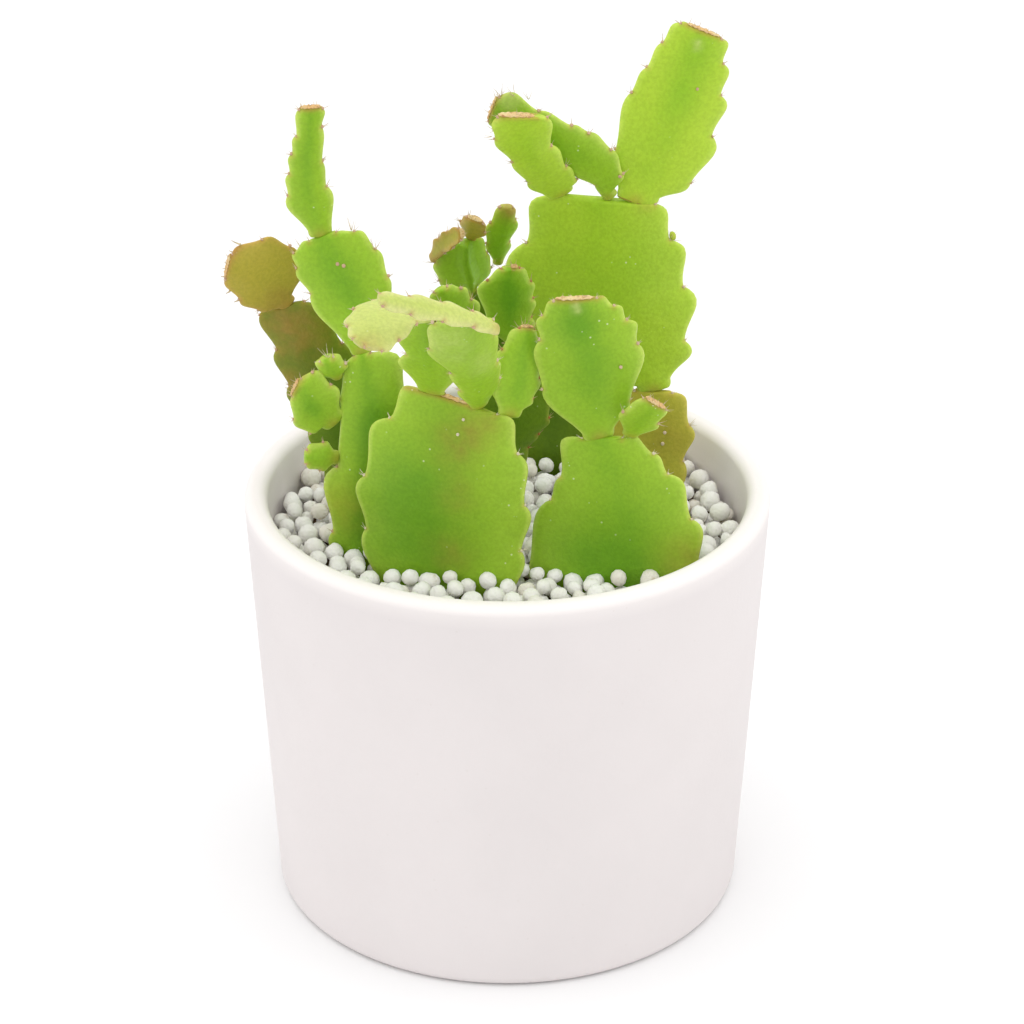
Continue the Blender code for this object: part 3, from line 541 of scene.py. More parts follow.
def place_on_pad(pad, along, across, out):
    """Turn plane coordinates of a pad into space, with its cup and the arc of its curl."""
    along, across, out = np.broadcast_arrays(along, across, out)
    along_axis, across_axis, face_axis = pad_axes(pad)
    half_width = max(notch[1] for notch in pad.left + pad.right)
    out = out + pad.cup * (across / half_width) ** 2
    if pad.curl:
        curl = radians(pad.curl)
        arc_radius = pad.length / (2 * sin(curl / 2))
        angle = curl * (along / pad.length - 0.5)
        along = arc_radius * (np.sin(angle) + sin(curl / 2)) - out * np.sin(angle)
        out = arc_radius * (cos(curl / 2) - np.cos(angle)) + out * np.cos(angle)
    return (pad_base(pad) + along[..., None] * along_axis + across[..., None] * across_axis
            + out[..., None] * face_axis)


def pad_base(pad):
    """Return the place of a pad's base: on the soil, or on the pad that carries it."""
    if not pad.on:
        return np.array([pad.seat[0], pad.seat[1], FOOT_HEIGHT])
    carrier = next(other for other in PADS if other.name == pad.on)
    along, across, out = (*pad.seat, 0.0)[:3]
    return place_on_pad(carrier, along, across, out) + PAD_GAP * pad_axes(pad)[0]


def margin_corners(notches):
    """Return the corners of a margin, along and outwards: the shoulder of the neck, then each notch."""
    neck = (NECK_DEPTH * notches[0][1], notches[0][1])
    return np.array([neck] + [notch[:2] for notch in notches[1:]], dtype=float)


def corner_heights(corners):
    """Return the corners' heights as shares of the way from the first to the last."""
    return (corners[:, 0] - corners[0, 0]) / (corners[-1, 0] - corners[0, 0])


def row_heights(pad):
    """Return the heights of a pad's rows: some in each lobe of both margins, close together at its notch."""
    heights = []
    for corners in (margin_corners(pad.left), margin_corners(pad.right)):
        levels = corner_heights(corners)
        heights.append((levels[:-1, None] + np.diff(levels)[:, None] * np.array(LOBE_SHARES)).ravel())
    heights = np.unique(np.concatenate(heights + [[1.0]]).round(4))
    return heights


def margin_line(notches, heights):
    """Return a margin's straight line from notch to notch, and the swelling of its lobes outside it.

    A lobe swells square to its chord by bulge * chord * sin(pi * share ^ lean) ^ roundness.
    """
    corners = margin_corners(notches)
    bulges = np.array([notch[2] if len(notch) > 2 else LOBE_BULGE for notch in notches[1:]])
    position = np.interp(heights, corner_heights(corners), np.arange(len(corners)))
    lobe = np.minimum(position.astype(int), len(bulges) - 1)
    share = (position - lobe)[:, None]
    chord = corners[lobe + 1] - corners[lobe]
    outward = np.stack([-chord[:, 1], chord[:, 0]], axis=1)
    swell = np.sin(pi * share ** LOBE_LEAN).clip(0) ** LOBE_ROUNDNESS
    return corners[lobe] + chord * share, outward * bulges[lobe][:, None] * swell


def pad_grid(pad):
    """Return a pad's plane coordinates, place across from -1 to 1 and thickness share, rows by ring points.

    The ring runs over the face from the left margin to the right and back behind it. Rows are straight
    between the two chords, and the lobes' swelling fades inwards with a power of the place across.
    Five rows round off the neck, which reaches a little into the pad below, and three the apex.
    """
    heights = row_heights(pad)
    face = np.sin(np.linspace(-pi / 2, pi / 2, PAD_COLUMNS))
    across = np.concatenate([face, face[-2:0:-1]])
    side = np.concatenate([np.ones(PAD_COLUMNS), -np.ones(PAD_COLUMNS - 2)])
    left_line, left_swell = margin_line(pad.left, heights)
    right_line, right_swell = margin_line(pad.right, heights)
    flip = np.array([1.0, -1.0])
    left_line, left_swell = left_line * flip, left_swell * flip
    weight = ((across + 1) / 2)[None, :, None]
    swell = np.where((across < 0)[None, :, None], left_swell[:, None], right_swell[:, None])
    plane = left_line[:, None] + (right_line - left_line)[:, None] * weight
    plane = plane + swell * (np.abs(across) ** SWELL_FADE)[None, :, None]
    share = np.clip(plane[:, :, 0] / pad.length, 0, 1)
    thickness = END_THICKNESS + (1 - END_THICKNESS) * np.sin(pi * share) ** 0.8

    turn = np.linspace(0, pi / 2, 6)[:-1]
    width = NECK_WIDTH + (1 - NECK_WIDTH) * np.sin(turn)
    depth = 1 - np.cos(turn)
    sink = NECK_SINK if pad.on else 0.0
    neck = np.stack([plane[0, :, 0][None] * depth[:, None] - sink * (1 - depth)[:, None],
                     plane[0, :, 1][None] * width[:, None]], axis=-1)
    turn_end = np.linspace(0, pi / 2, 5)[1:-1]
    apex = plane[-1][None] * np.stack([np.ones(3), 1 - 0.12 * (1 - np.cos(turn_end))], axis=-1)[:, None]
    apex = apex + np.stack([APEX_ROUNDING * np.sin(turn_end), np.zeros(3)], axis=-1)[:, None]
    plane = np.concatenate([neck, plane, apex])
    thickness = np.concatenate([thickness[:1] * (0.45 + 0.55 * np.sin(turn))[:, None], thickness,
                                thickness[-1:] * np.cos(turn_end)[:, None]])
    return plane, across, side, thickness


def pad_relief(pad, plane, across):
    """Return the pad's bending out of its plane and the ribs on its faces.

    The sheet waves by two slow sines of the place, and the lobes flex a little to and fro at the margin.
    """
    phase = sum(ord(letter) for letter in pad.name)
    along, sideways = plane[..., 0], plane[..., 1]
    wave = 0.16 * np.sin(along / 4.1 + phase) * np.sin(sideways / 3.3 + 2 * phase)
    wave += 0.22 * np.sin(along / 2.7 + 3 * phase) * np.abs(across) ** 3
    wave *= np.clip(along / 5, 0, 1)
    ridge = 0.14 * np.exp(-(sideways / 1.1) ** 2)
    rib = pad.rib * np.clip(1 - np.abs(across) / RIB_WIDTH, 0, 1) ** 1.3
    return wave, ridge, rib


def notch_places(pad):
    """Return each notch's along, across and outward way of a pad, from the first lobe's to the apex."""
    places = [(notch[0], -notch[1], -56) for notch in pad.left[1:]]
    places += [(notch[0], notch[1], 56) for notch in pad.right[1:]]
    return places


def spot_mark(pad, plane, kind):
    """Return how strongly the pad's spots of one kind colour each point: a bell round each spot."""
    total = np.zeros(plane.shape[:-1])
    for spot_kind, along, across, radius, strength in pad.spots:
        if spot_kind == kind:
            distance = np.hypot(plane[..., 0] - along, plane[..., 1] - across)
            total += strength * np.exp(-(distance / radius) ** 2)
    return total


def pad_mesh(pad):
    """Build the closed skin of a pad with its marks."""
    plane, across, side, thickness = pad_grid(pad)
    wave, ridge, rib = pad_relief(pad, plane, across)
    body = pad.thick / 2 * np.sqrt(1 - np.abs(across) ** MARGIN_SHARPNESS)
    open_face = 1 - np.abs(across) ** MARGIN_SHARPNESS
    out = wave + side * (thickness * body + ridge * open_face) + rib * (side > 0)
    rings = place_on_pad(pad, plane[..., 0], plane[..., 1], out)
    share = plane[..., 0] / pad.length
    band = np.exp(-(across / 0.42) ** 2) * np.clip(share * 2.5, 0, 1)
    deep = pad.deep * band + spot_mark(pad, plane, "deep")
    areole = np.zeros(plane.shape[:-1])
    for along, sideways, _ in notch_places(pad):
        distance = np.hypot(plane[..., 0] - along, plane[..., 1] - sideways)
        areole = np.maximum(areole, 0.4 * np.exp(-(distance / 0.5) ** 2))
    if pad.on:
        seat = np.hypot(plane[..., 0], plane[..., 1])
        areole = np.maximum(areole, 0.4 * np.exp(-(seat / 1.5) ** 2))
    if pad.scar:
        inside = (across > pad.scar[0] - 0.1) & (across < pad.scar[1] + 0.1)
        areole = np.maximum(areole, inside * np.exp(-((plane[..., 0] - plane[-1, :, 0]) / 0.6) ** 2) * 0.6)
    kinds = [kind for kind in BLUSH if kind != "deep"]
    marks = {kind: spot_mark(pad, plane, kind)[None] for kind in kinds}
    half_width = (plane[:, PAD_COLUMNS - 1, 1] - plane[:, 0, 1])[:, None] / 2
    # The thin rim within 0.9 mm of the margin is a painted highlight on the pad's rounded edge.
    painted_rim_highlight = np.clip(1 - (1 - np.abs(across)) * half_width / 0.9, 0, 1)
    uv = np.stack([np.broadcast_to(across, share.shape) / 2 + 0.5, share], axis=-1)
    return make_skins(pad.name + "_skin", rings[None], uv[None], deep=deep[None], areole=areole[None],
                      edge=(0.8 * painted_rim_highlight + 0.2 * across ** 2)[None], **marks)


def pad_material(skin):
    """Waxy green skin: a darker middle, a yellow-green margin with a painted highlight on its thin rim, soft patches,
    fine mottling and specks.
    """
    face, deep, margin, specks = SKINS[skin]
    material, tree, shader, place = new_material("skin_" + skin, 0.46, 0.22)
    edge = mark(tree, "edge")
    slow = noise(tree, place, 70.0, 3.0)
    middling = noise(tree, place, 320.0, 3.0)
    fine = noise(tree, place, 1500.0, 2.0, 0.6)
    wander = ramp(tree, slow, 0.3, 0.7, -0.16, 0.2)
    tone = mix(tree, maths(tree, "ADD", mark(tree, "deep"), wander), face, deep)
    # Margin colour: the skin's own yellow-green towards the margin, plus a painted highlight on the thin rim.
    tone = mix(tree, maths(tree, "MULTIPLY", edge, ramp(tree, middling, 0.2, 0.8, 0.6, 1.0)), tone, margin)
    for kind, blush in BLUSH.items():
        if blush and any(spot[0] == kind for pad in PADS if pad.skin == skin for spot in pad.spots):
            patchy = maths(tree, "MULTIPLY", mark(tree, kind), ramp(tree, middling, 0.25, 0.75, 0.6, 1.3))
            tone = mix(tree, patchy, tone, blush)
    tone = mix(tree, mark(tree, "areole"), tone, AREOLE_BLUSH)
    mottle = mix(tree, ramp(tree, fine, 0.3, 0.7), (0.92, 0.93, 0.91), (1.06, 1.05, 1.07))
    tone = mix(tree, 1.0, tone, mottle, "MULTIPLY")
    cells = add_node(tree, "ShaderNodeTexVoronoi", {"Vector": place, "Scale": 700.0})
    chosen = ramp(tree, noise(tree, place, 150.0, 1.0), 0.72 - 0.3 * specks, 0.8 - 0.3 * specks)
    speck = maths(tree, "MULTIPLY", ramp(tree, cells.outputs["Distance"], 0.09, 0.16, 1.0, 0.0), chosen)
    tone = mix(tree, maths(tree, "MULTIPLY", speck, 0.65), tone, (0.78, 0.85, 0.55))
    tree.links.new(tone, shader.inputs["Base Color"])
    tree.links.new(ramp(tree, middling, 0.2, 0.8, 0.38, 0.55), shader.inputs["Roughness"])
    shader.inputs["Subsurface Weight"].default_value = 0.12
    shader.inputs["Subsurface Radius"].default_value = (0.6, 1.0, 0.15)
    shader.inputs["Subsurface Scale"].default_value = 0.0015
    add_bump(tree, shader, maths(tree, "ADD", middling, maths(tree, "MULTIPLY", fine, 0.35)), 0.00022)
    return material


def build_pads():
    """Build every pad's skin."""
    materials = {}
    for pad in PADS:
        if pad.skin not in materials:
            materials[pad.skin] = pad_material(pad.skin)
        place_piece(pad.name + "_skin", pad_mesh(pad), materials[pad.skin], (pad.name,))


# Small parts on the pads

def ball_rings(centres, radii, rows, around):
    """Return rings of balls: each row's circle is turned through the sine of its polar angle.

    centres are many points, radii each one's three half axes, or a set of three axis vectors.
    """
    polar = np.linspace(0, pi, rows + 2)[1:-1]
    turn = np.arange(around) * 2 * pi / around
    unit = np.stack([np.sin(polar)[:, None] * np.cos(turn), np.sin(polar)[:, None] * np.sin(turn),
                     -np.cos(polar)[:, None] * np.ones(around)], axis=-1)
    return centres[:, None, None, :] + np.einsum("rak,nkj->nraj", unit, radii)


def frames_of(pad, along, across, way):
    """Return a place on a margin, the direction that many degrees right of ahead, the one square to it, the face's."""
    ahead, sideways, face = pad_axes(pad)
    outward = cos(radians(way)) * ahead + sin(radians(way)) * sideways
    return place_on_pad(pad, along, across, 0.0), outward, np.cross(face, outward), face


def build_areoles():
    """Build the woolly cushions in the notches, and the few that sit on a face."""
    sizes = bpy.context.scene.cactus_plant
    chance = np.random.default_rng(3)
    centres, axes, brown = [], [], []
    for pad in PADS:
        ahead, sideways, face = pad_axes(pad)
        seats = [frames_of(pad, *notch) for notch in notch_places(pad)]
        seats += [(place_on_pad(pad, *dot, 0.46 * pad.thick), face, sideways, ahead) for dot in pad.dots]
        for place, outward, crosswise, third in seats:
            centres.append(place + 0.08 * outward)
            radius = sizes.areole / MM * chance.uniform(0.75, 1.25)
            axes.append(np.stack([1.15 * crosswise, 1.25 * third, 0.9 * outward]) * radius)
            brown.append(pad.wool)
    rings = ball_rings(np.array(centres), np.array(axes), 4, 8)
    brown = np.broadcast_to(np.array(brown)[:, None, None], rings.shape[:3])
    material, tree, shader, place = new_material("areole_wool", 0.8, 0.1)
    grain = add_grain(tree, place, tuple(sizes.wool), (0.55, 0.26, 0.10), 900.0, 3000.0, 0.9)
    tree.links.new(mix(tree, mark(tree, "brown"), CREAM, grain["Colour"]), shader.inputs["Base Color"])
    add_bump(tree, shader, grain["Height"], 0.00015)
    place_piece("areoles", make_skins("areoles", rings, brown=brown), material)


def bristle_roots():
    """Return root, direction, length, stoutness and brownness of each bristle, with a seeded spread."""
    chance = np.random.default_rng(11)
    found = []
    for pad in PADS:
        places = [(notch, pad.bristle, 2 + int(chance.integers(0, 3)), 1) for notch in notch_places(pad)]
        places += [(tuft[:3], *tuft[3:]) for tuft in pad.tufts]
        for notch, longest, number, stout in places:
            place, outward, crosswise, face = frames_of(pad, *notch)
            for _ in range(number):
                spread = chance.uniform(-0.75, 0.75, 2) / stout
                direction = outward + spread[0] * crosswise + spread[1] * face
                root = place + 0.15 * (spread[0] * crosswise + spread[1] * face)
                found.append((*root, *direction, longest * chance.uniform(0.45, 1.15), stout, pad.wool))
    return found


def scar_line(pad, shares):
    """Return places along a pad's apex, from its left corner to its right."""
    left, right = margin_corners(pad.left)[-1], margin_corners(pad.right)[-1]
    weight = (shares + 1) / 2
    along = left[0] + (right[0] - left[0]) * weight + APEX_ROUNDING
    across = (-left[1] + (right[1] + left[1]) * weight) * 0.92
    return place_on_pad(pad, along, across, 0.0)


def scar_bristles():
    """Return the same numbers for the bristles that stand on the corky apices."""
    chance = np.random.default_rng(5)
    found = []
    for pad in PADS:
        if not pad.scar:
            continue
        ahead, sideways, face = pad_axes(pad)
        shares = chance.uniform(pad.scar[0], pad.scar[1], 4 + int(pad.bristle * 3))
        for place in scar_line(pad, shares):
            spread = chance.uniform(-0.6, 0.6, 2)
            direction = ahead + spread[0] * sideways + spread[1] * face
            root = place + 0.3 * face * spread[1]
            found.append((*root, *direction, pad.bristle * chance.uniform(0.35, 1.0), 1, pad.wool))
    return found


def bristle_rings(roots, directions, lengths, radii):
    """Return tapering rings along each bristle, which bends upwards with the square of the way out."""
    directions = directions / np.linalg.norm(directions, axis=1)[:, None]
    way = np.linspace(0, 1, 5)
    sideways = np.cross(directions, (0.31, 0.17, 0.93))
    sideways /= np.linalg.norm(sideways, axis=1)[:, None]
    other = np.cross(directions, sideways)
    centre = roots[:, None] + directions[:, None] * (way[None, :, None] * lengths[:, None, None])
    centre = centre + np.array((0, 0, 0.16)) * (way ** 2)[None, :, None] * lengths[:, None, None]
    turn = np.arange(4) * pi / 2
    size = radii[:, None] * (1 - 0.75 * way)
    circle = (np.cos(turn)[:, None] * sideways[:, None, :] + np.sin(turn)[:, None] * other[:, None, :])
    return centre[:, :, None] + circle[:, None] * size[..., None, None]


def build_bristles():
    """Build the bristles of the areoles and of the dry apices, and the barbs of the oldest pads."""
    sizes = bpy.context.scene.cactus_plant
    table = np.array(bristle_roots() + scar_bristles())
    rings = bristle_rings(table[:, :3], table[:, 3:6], table[:, 6], table[:, 7] * sizes.bristle_radius / MM)
    way = np.broadcast_to(np.linspace(0, 1, 5)[None, :, None], rings.shape[:3])
    brown = np.broadcast_to(table[:, 8][:, None, None], rings.shape[:3])
    material, tree, shader, place = new_material("bristle_straw", 0.6, 0.2)
    grain = add_grain(tree, place, tuple(sizes.straw), (0.42, 0.24, 0.10), 260.0, 2500.0, 0.7)
    own = mark(tree, "brown")
    tone = mix(tree, own, CREAM, grain["Colour"])
    tip = maths(tree, "MULTIPLY", ramp(tree, mark(tree, "way"), 0.3, 1.0, 0.0, 0.6), own)
    tree.links.new(mix(tree, tip, tone, (0.22, 0.13, 0.09)), shader.inputs["Base Color"])
    mesh = make_skins("bristles", rings, way=way, brown=brown)
    place_piece("bristles", mesh, material)


def build_scars():
    """Build the dry corky apices: a lumpy flat rope along each one, pinched at its ends."""
    sizes = bpy.context.scene.cactus_plant
    shares = np.linspace(0, 1, 33)
    turn = np.arange(8) * pi / 4
    rings = []
    for number, pad in enumerate(pad for pad in PADS if pad.scar):
        ahead, sideways, face = pad_axes(pad)
        centre = scar_line(pad, pad.scar[0] + (pad.scar[1] - pad.scar[0]) * shares)
        pinch = np.sqrt(1 - (2 * shares - 1) ** 4).clip(0.15)
        lumps = 1 + 0.4 * np.sin(shares * 29 + number) + 0.3 * np.sin(shares * 53 + 2 * number)
        height = sizes.scar / MM * pinch * lumps
        depth = 0.3 * pad.thick * pinch * (1 + 0.15 * np.sin(shares * 37 + 3 * number))
        rings.append(centre[:, None] + np.cos(turn)[None, :, None] * ahead * height[:, None, None]
                     - np.sin(turn)[None, :, None] * face * depth[:, None, None])
    material, tree, shader, place = new_material("apex_cork", 0.75, 0.15)
    grain = add_grain(tree, place, tuple(sizes.cork), (0.86, 0.70, 0.38), 420.0, 2600.0, 0.9)
    brown = ramp(tree, noise(tree, place, 900.0, 3.0), 0.54, 0.7)
    tone = mix(tree, maths(tree, "MULTIPLY", brown, 0.7), grain["Colour"], (0.36, 0.15, 0.05))
    tree.links.new(tone, shader.inputs["Base Color"])
    add_bump(tree, shader, grain["Height"], 0.0003)
    place_piece("apex_scars", make_skins("apex_scars", np.array(rings)), material)


def build_joints():
    """Build the small woody joints that hold each pad on the one below."""
    centres, axes = [], []
    for pad in PADS:
        if pad.on:
            ahead, sideways, face = pad_axes(pad)
            width = NECK_WIDTH * (pad.left[0][1] + pad.right[0][1]) / 2
            centres.append(place_on_pad(pad, -0.15, 0.0, 0.0))
            axes.append(np.stack([1.1 * width * sideways, -0.34 * pad.thick * face, 0.42 * ahead]))
    material, tree, shader, place = new_material("joint_wood", 0.7, 0.15)
    grain = add_grain(tree, place, (0.34, 0.33, 0.04), (0.33, 0.18, 0.05), 500.0, 2500.0, 0.8)
    tree.links.new(grain["Colour"], shader.inputs["Base Color"])
    add_bump(tree, shader, grain["Height"], 0.0002)
    rings = ball_rings(np.array(centres), np.array(axes), 7, 14)
    place_piece("pad_joints", make_skins("pad_joints", rings), material)


def build_bud():
    """Build the one small bud, a fat drop in a notch of the large pad."""
    pad = next(pad for pad in PADS if pad.name == "back_right_large_pad")
    ahead, sideways, face = pad_axes(pad)
    place = place_on_pad(pad, 30.6, 11.2, 0.0)
    axes = np.stack([0.62 * sideways, -0.6 * face, 0.95 * ahead])
    rings = ball_rings(place[None], axes[None], 8, 14)
    material, tree, shader, spot = new_material("bud_skin", 0.45, 0.22)
    grain = add_grain(tree, spot, (0.50, 0.62, 0.06), (0.40, 0.42, 0.05), 500.0, 2500.0, 0.6)
    tree.links.new(grain["Colour"], shader.inputs["Base Color"])
    add_bump(tree, shader, grain["Height"], 0.0001)
    place_piece("bud", make_skins("bud", rings), material)


# Pot and filling

def arc(centre_r, centre_z, radius, start, stop, steps):
    """Return profile points on an arc, angles in degrees from +R towards +Z."""
    angle = np.radians(np.linspace(start, stop, steps + 1))
    return np.stack([centre_r + radius * np.cos(angle), centre_z + radius * np.sin(angle)], axis=-1)


def straight(start, stop, steps):
    """Return points inside a straight run of the profile, without its ends."""
    share = np.linspace(0, 1, steps + 2)[1:-1, None]
    return np.array(start) + (np.array(stop) - np.array(start)) * share


def outer_radius(height):
    """Return the pot's outer radius at a height: it widens evenly to the lip."""
    return POT_BASE_RADIUS + (POT_RADIUS - POT_BASE_RADIUS) * height / POT_HEIGHT


def inner_radius(height):
    """Return the radius of the pot's inner wall at a height."""
    return outer_radius(height) - POT_WALL


def build_pot():
    """Build the pot: one profile turned round the axis, from the middle of its foot to the middle of its floor."""
    lip = POT_HEIGHT - LIP_ROUNDING
    floor_corner = POT_FLOOR + INNER_CORNER_ROUNDING
    corner = inner_radius(floor_corner) - INNER_CORNER_ROUNDING
    foot = arc(POT_BASE_RADIUS - BASE_ROUNDING, BASE_ROUNDING, BASE_ROUNDING, -90, 0, 8)
    outer_lip = arc(outer_radius(lip) - LIP_ROUNDING, lip, LIP_ROUNDING, 0, 90, 10)
    inner_lip = arc(inner_radius(lip) + LIP_ROUNDING, lip, LIP_ROUNDING, 90, 180, 10)
    bowl = arc(corner, floor_corner, INNER_CORNER_ROUNDING, 0, -90, 6)
    profile = np.concatenate([straight((0, 0), foot[0], 6), foot, straight(foot[-1], outer_lip[0], 28), outer_lip,
                              inner_lip, straight(inner_lip[-1], bowl[0], 24), bowl,
                              straight(bowl[-1], (0, POT_FLOOR), 6)])
    turn = np.arange(192) * 2 * pi / 192
    radius = profile[:, 0, None]
    unevenness = 1 + 0.0007 * np.sin(2 * turn + 0.6) + 0.0004 * np.sin(3 * turn + profile[:, 1, None] / 17)
    rings = np.stack([radius * unevenness * np.cos(turn), radius * unevenness * np.sin(turn),
                      profile[:, 1, None] * np.ones(192)], axis=-1)
    # Painted light: marks the top of the lip, which is coloured lighter as if lit from above.
    painted_light_on_lip = np.clip((profile[:, 1] - (POT_HEIGHT - 2.6)) / 1.6, 0, 1)
    colours = bpy.context.scene.cactus_pot
    material, tree, shader, place = new_material("matte_ceramic", 0.55, 0.35)
    grain = add_grain(tree, place, tuple(colours.glaze), tuple(0.965 * value for value in colours.glaze),
                      22.0, 900.0, 1.0)
    # Painted light on the top of the lip.
    tone = mix(tree, mark(tree, "lip"), grain["Colour"], tuple(colours.lip))
    pits = add_node(tree, "ShaderNodeTexVoronoi", {"Vector": place, "Scale": 260.0})
    pit = ramp(tree, pits.outputs["Distance"], 0.03, 0.07, 1.0, 0.0)
    tone = mix(tree, maths(tree, "MULTIPLY", pit, 0.12), tone, (0.55, 0.48, 0.42))
    tree.links.new(tone, shader.inputs["Base Color"])
    tree.links.new(ramp(tree, noise(tree, place, 60.0, 3.0), 0.3, 0.7, 0.48, 0.62), shader.inputs["Roughness"])
    add_bump(tree, shader, grain["Height"], 0.00005)
    mesh = make_skins("pot_body", rings[None], lip=painted_light_on_lip[None, :, None])
    place_piece("pot_body", mesh, material, ("pot",))


def finish_soil():
    """Give the soil, which shows only between the pebbles, crumbs and flecks of bark."""
    colours = bpy.context.scene.cactus_pot
    material, tree, shader, place = new_material("potting_soil", 0.95, 0.1)
    grain = add_grain(tree, place, tuple(colours.soil), (0.20, 0.13, 0.07), 420.0, 1400.0, 1.0)
    bark = ramp(tree, noise(tree, place, 240.0, 2.0), 0.62, 0.66)
    tree.links.new(mix(tree, bark, grain["Colour"], (0.30, 0.20, 0.11)), shader.inputs["Base Color"])
    add_bump(tree, shader, grain["Height"], 0.0012)
    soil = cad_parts["soil"]
    soil.data.materials.clear()
    soil.data.materials.append(material)


def foot_segments():
    """Return the two ends, seen from above, of each standing pad where it passes the pebbles."""
    ends = []
    for pad in PADS:
        if not pad.on:
            level = np.array([(PEBBLE_TOP - 2 - FOOT_HEIGHT) / pad.length])
            left, left_swell = margin_line(pad.left, level)
            right, right_swell = margin_line(pad.right, level)
            left, right = (left + left_swell)[0], (right + right_swell)[0]
            ends.append((place_on_pad(pad, left[0], -left[1], 0.0)[:2],
                         place_on_pad(pad, right[0], right[1], 0.0)[:2]))
    return np.array(ends)


def drop_pebbles(smallest, largest, seed):
    """Let pebbles fall one by one into the pot and return their centres and radii.

    Each takes the lowest of many random places: it rests on the bed, or on the pebbles under it at the
    height where the two balls touch. It stays clear of the wall and of the pads' feet.
    """
    chance = np.random.default_rng(seed)
    ends = foot_segments()
    run = ends[:, 1] - ends[:, 0]
    centres, radii = np.zeros((0, 3)), np.zeros(0)
    misses = 0
    while misses < 240:
        radius = chance.uniform(smallest, largest)
        angle, away = chance.uniform(0, 2 * pi, 90), np.sqrt(chance.uniform(0, 1, 90))
        reach = (inner_radius(PEBBLE_TOP) - radius - 0.1) * away
        spots = np.stack([reach * np.cos(angle), reach * np.sin(angle)], axis=-1)
        share = np.einsum("nkj,kj->nk", spots[:, None] - ends[None, :, 0], run) / (run ** 2).sum(axis=1)
        nearest = ends[None, :, 0] + run[None] * share.clip(0, 1)[..., None]
        clear = np.linalg.norm(spots[:, None] - nearest, axis=-1).min(axis=1) > radius + 0.9
        gap = np.linalg.norm(spots[:, None] - centres[None, :, :2], axis=-1)
        touch = (radii + radius)[None]
        rest = np.where(gap < touch, centres[None, :, 2] + np.sqrt((touch ** 2 - gap ** 2).clip(0)), 0)
        height = np.maximum(rest.max(axis=1, initial=0), PEBBLE_BOTTOM + radius)
        height[~clear] = 1000
        best = height.argmin()
        if height[best] + radius > PEBBLE_TOP + 0.9:
            misses += 1
            continue
        centres = np.vstack([centres, (*spots[best], height[best])])
        radii = np.append(radii, radius)
    return centres, radii


def build_pebbles():
    """Build the pebbles: rounded stones, each with its own proportions, turn and two or three soft facets."""
    sizes = bpy.context.scene.cactus_pot
    centres, radii = drop_pebbles(sizes.smallest_pebble / MM, sizes.largest_pebble / MM, sizes.seed)
    chance = np.random.default_rng(sizes.seed + 1)
    count = len(radii)
    turns = np.linalg.qr(chance.normal(size=(count, 3, 3)))[0]
    turns[:, 2] *= np.sign(np.linalg.det(turns))[:, None]
    shape = chance.uniform(0.86, 1.12, (count, 3))
    rings = ball_rings(np.zeros((count, 3)), turns * shape[..., None], 6, 10)
    for _ in range(3):
        facing = chance.normal(size=(count, 3))
        facing /= np.linalg.norm(facing, axis=1)[:, None]
        depth = chance.uniform(0.72, 0.92, count)
        over = (np.einsum("nraj,nj->nra", rings, facing) - depth[:, None, None]).clip(0)
        rings = rings - 0.8 * over[..., None] * facing[:, None, None]
    rings = centres[:, None, None] + rings * radii[:, None, None, None]
    tone = np.broadcast_to(chance.uniform(0, 1, count)[:, None, None], rings.shape[:3])
    material, tree, shader, place = new_material("white_pebble", 0.75, 0.25)
    grain = add_grain(tree, place, tuple(sizes.pebble), (0.90, 0.87, 0.81), 260.0, 1700.0, 0.5)
    own = mark(tree, "tone")
    cream = mix(tree, ramp(tree, own, 0.75, 1.0, 0.0, 0.4), grain["Colour"], (0.80, 0.71, 0.56))
    stains = ramp(tree, noise(tree, place, 420.0, 3.0, 0.6), 0.58, 0.74)
    tone_out = mix(tree, maths(tree, "MULTIPLY", stains, ramp(tree, own, 0.4, 1.0, 0.0, 0.6)), cream,
                   tuple(sizes.stain))
    tree.links.new(tone_out, shader.inputs["Base Color"])
    add_bump(tree, shader, grain["Height"], 0.00025)
    place_piece("pebbles", make_skins("pebbles", rings, tone=tone), material, ("pebble_layer",))


# Stage

def add_area_light(name, place, target, size, power):
    """Add a large soft square light that faces a target."""
    data = bpy.data.lights.new(name, "AREA")
    data.size = size
    data.energy = power
    lamp = bpy.data.objects.new(name, data)
    direction = np.array(target) - np.array(place)
    lamp.location = place
    lamp.rotation_euler = (atan(np.hypot(*direction[:2]) / -direction[2]), 0, np.arctan2(-direction[0], direction[1]))
    bpy.context.scene.collection.objects.link(lamp)


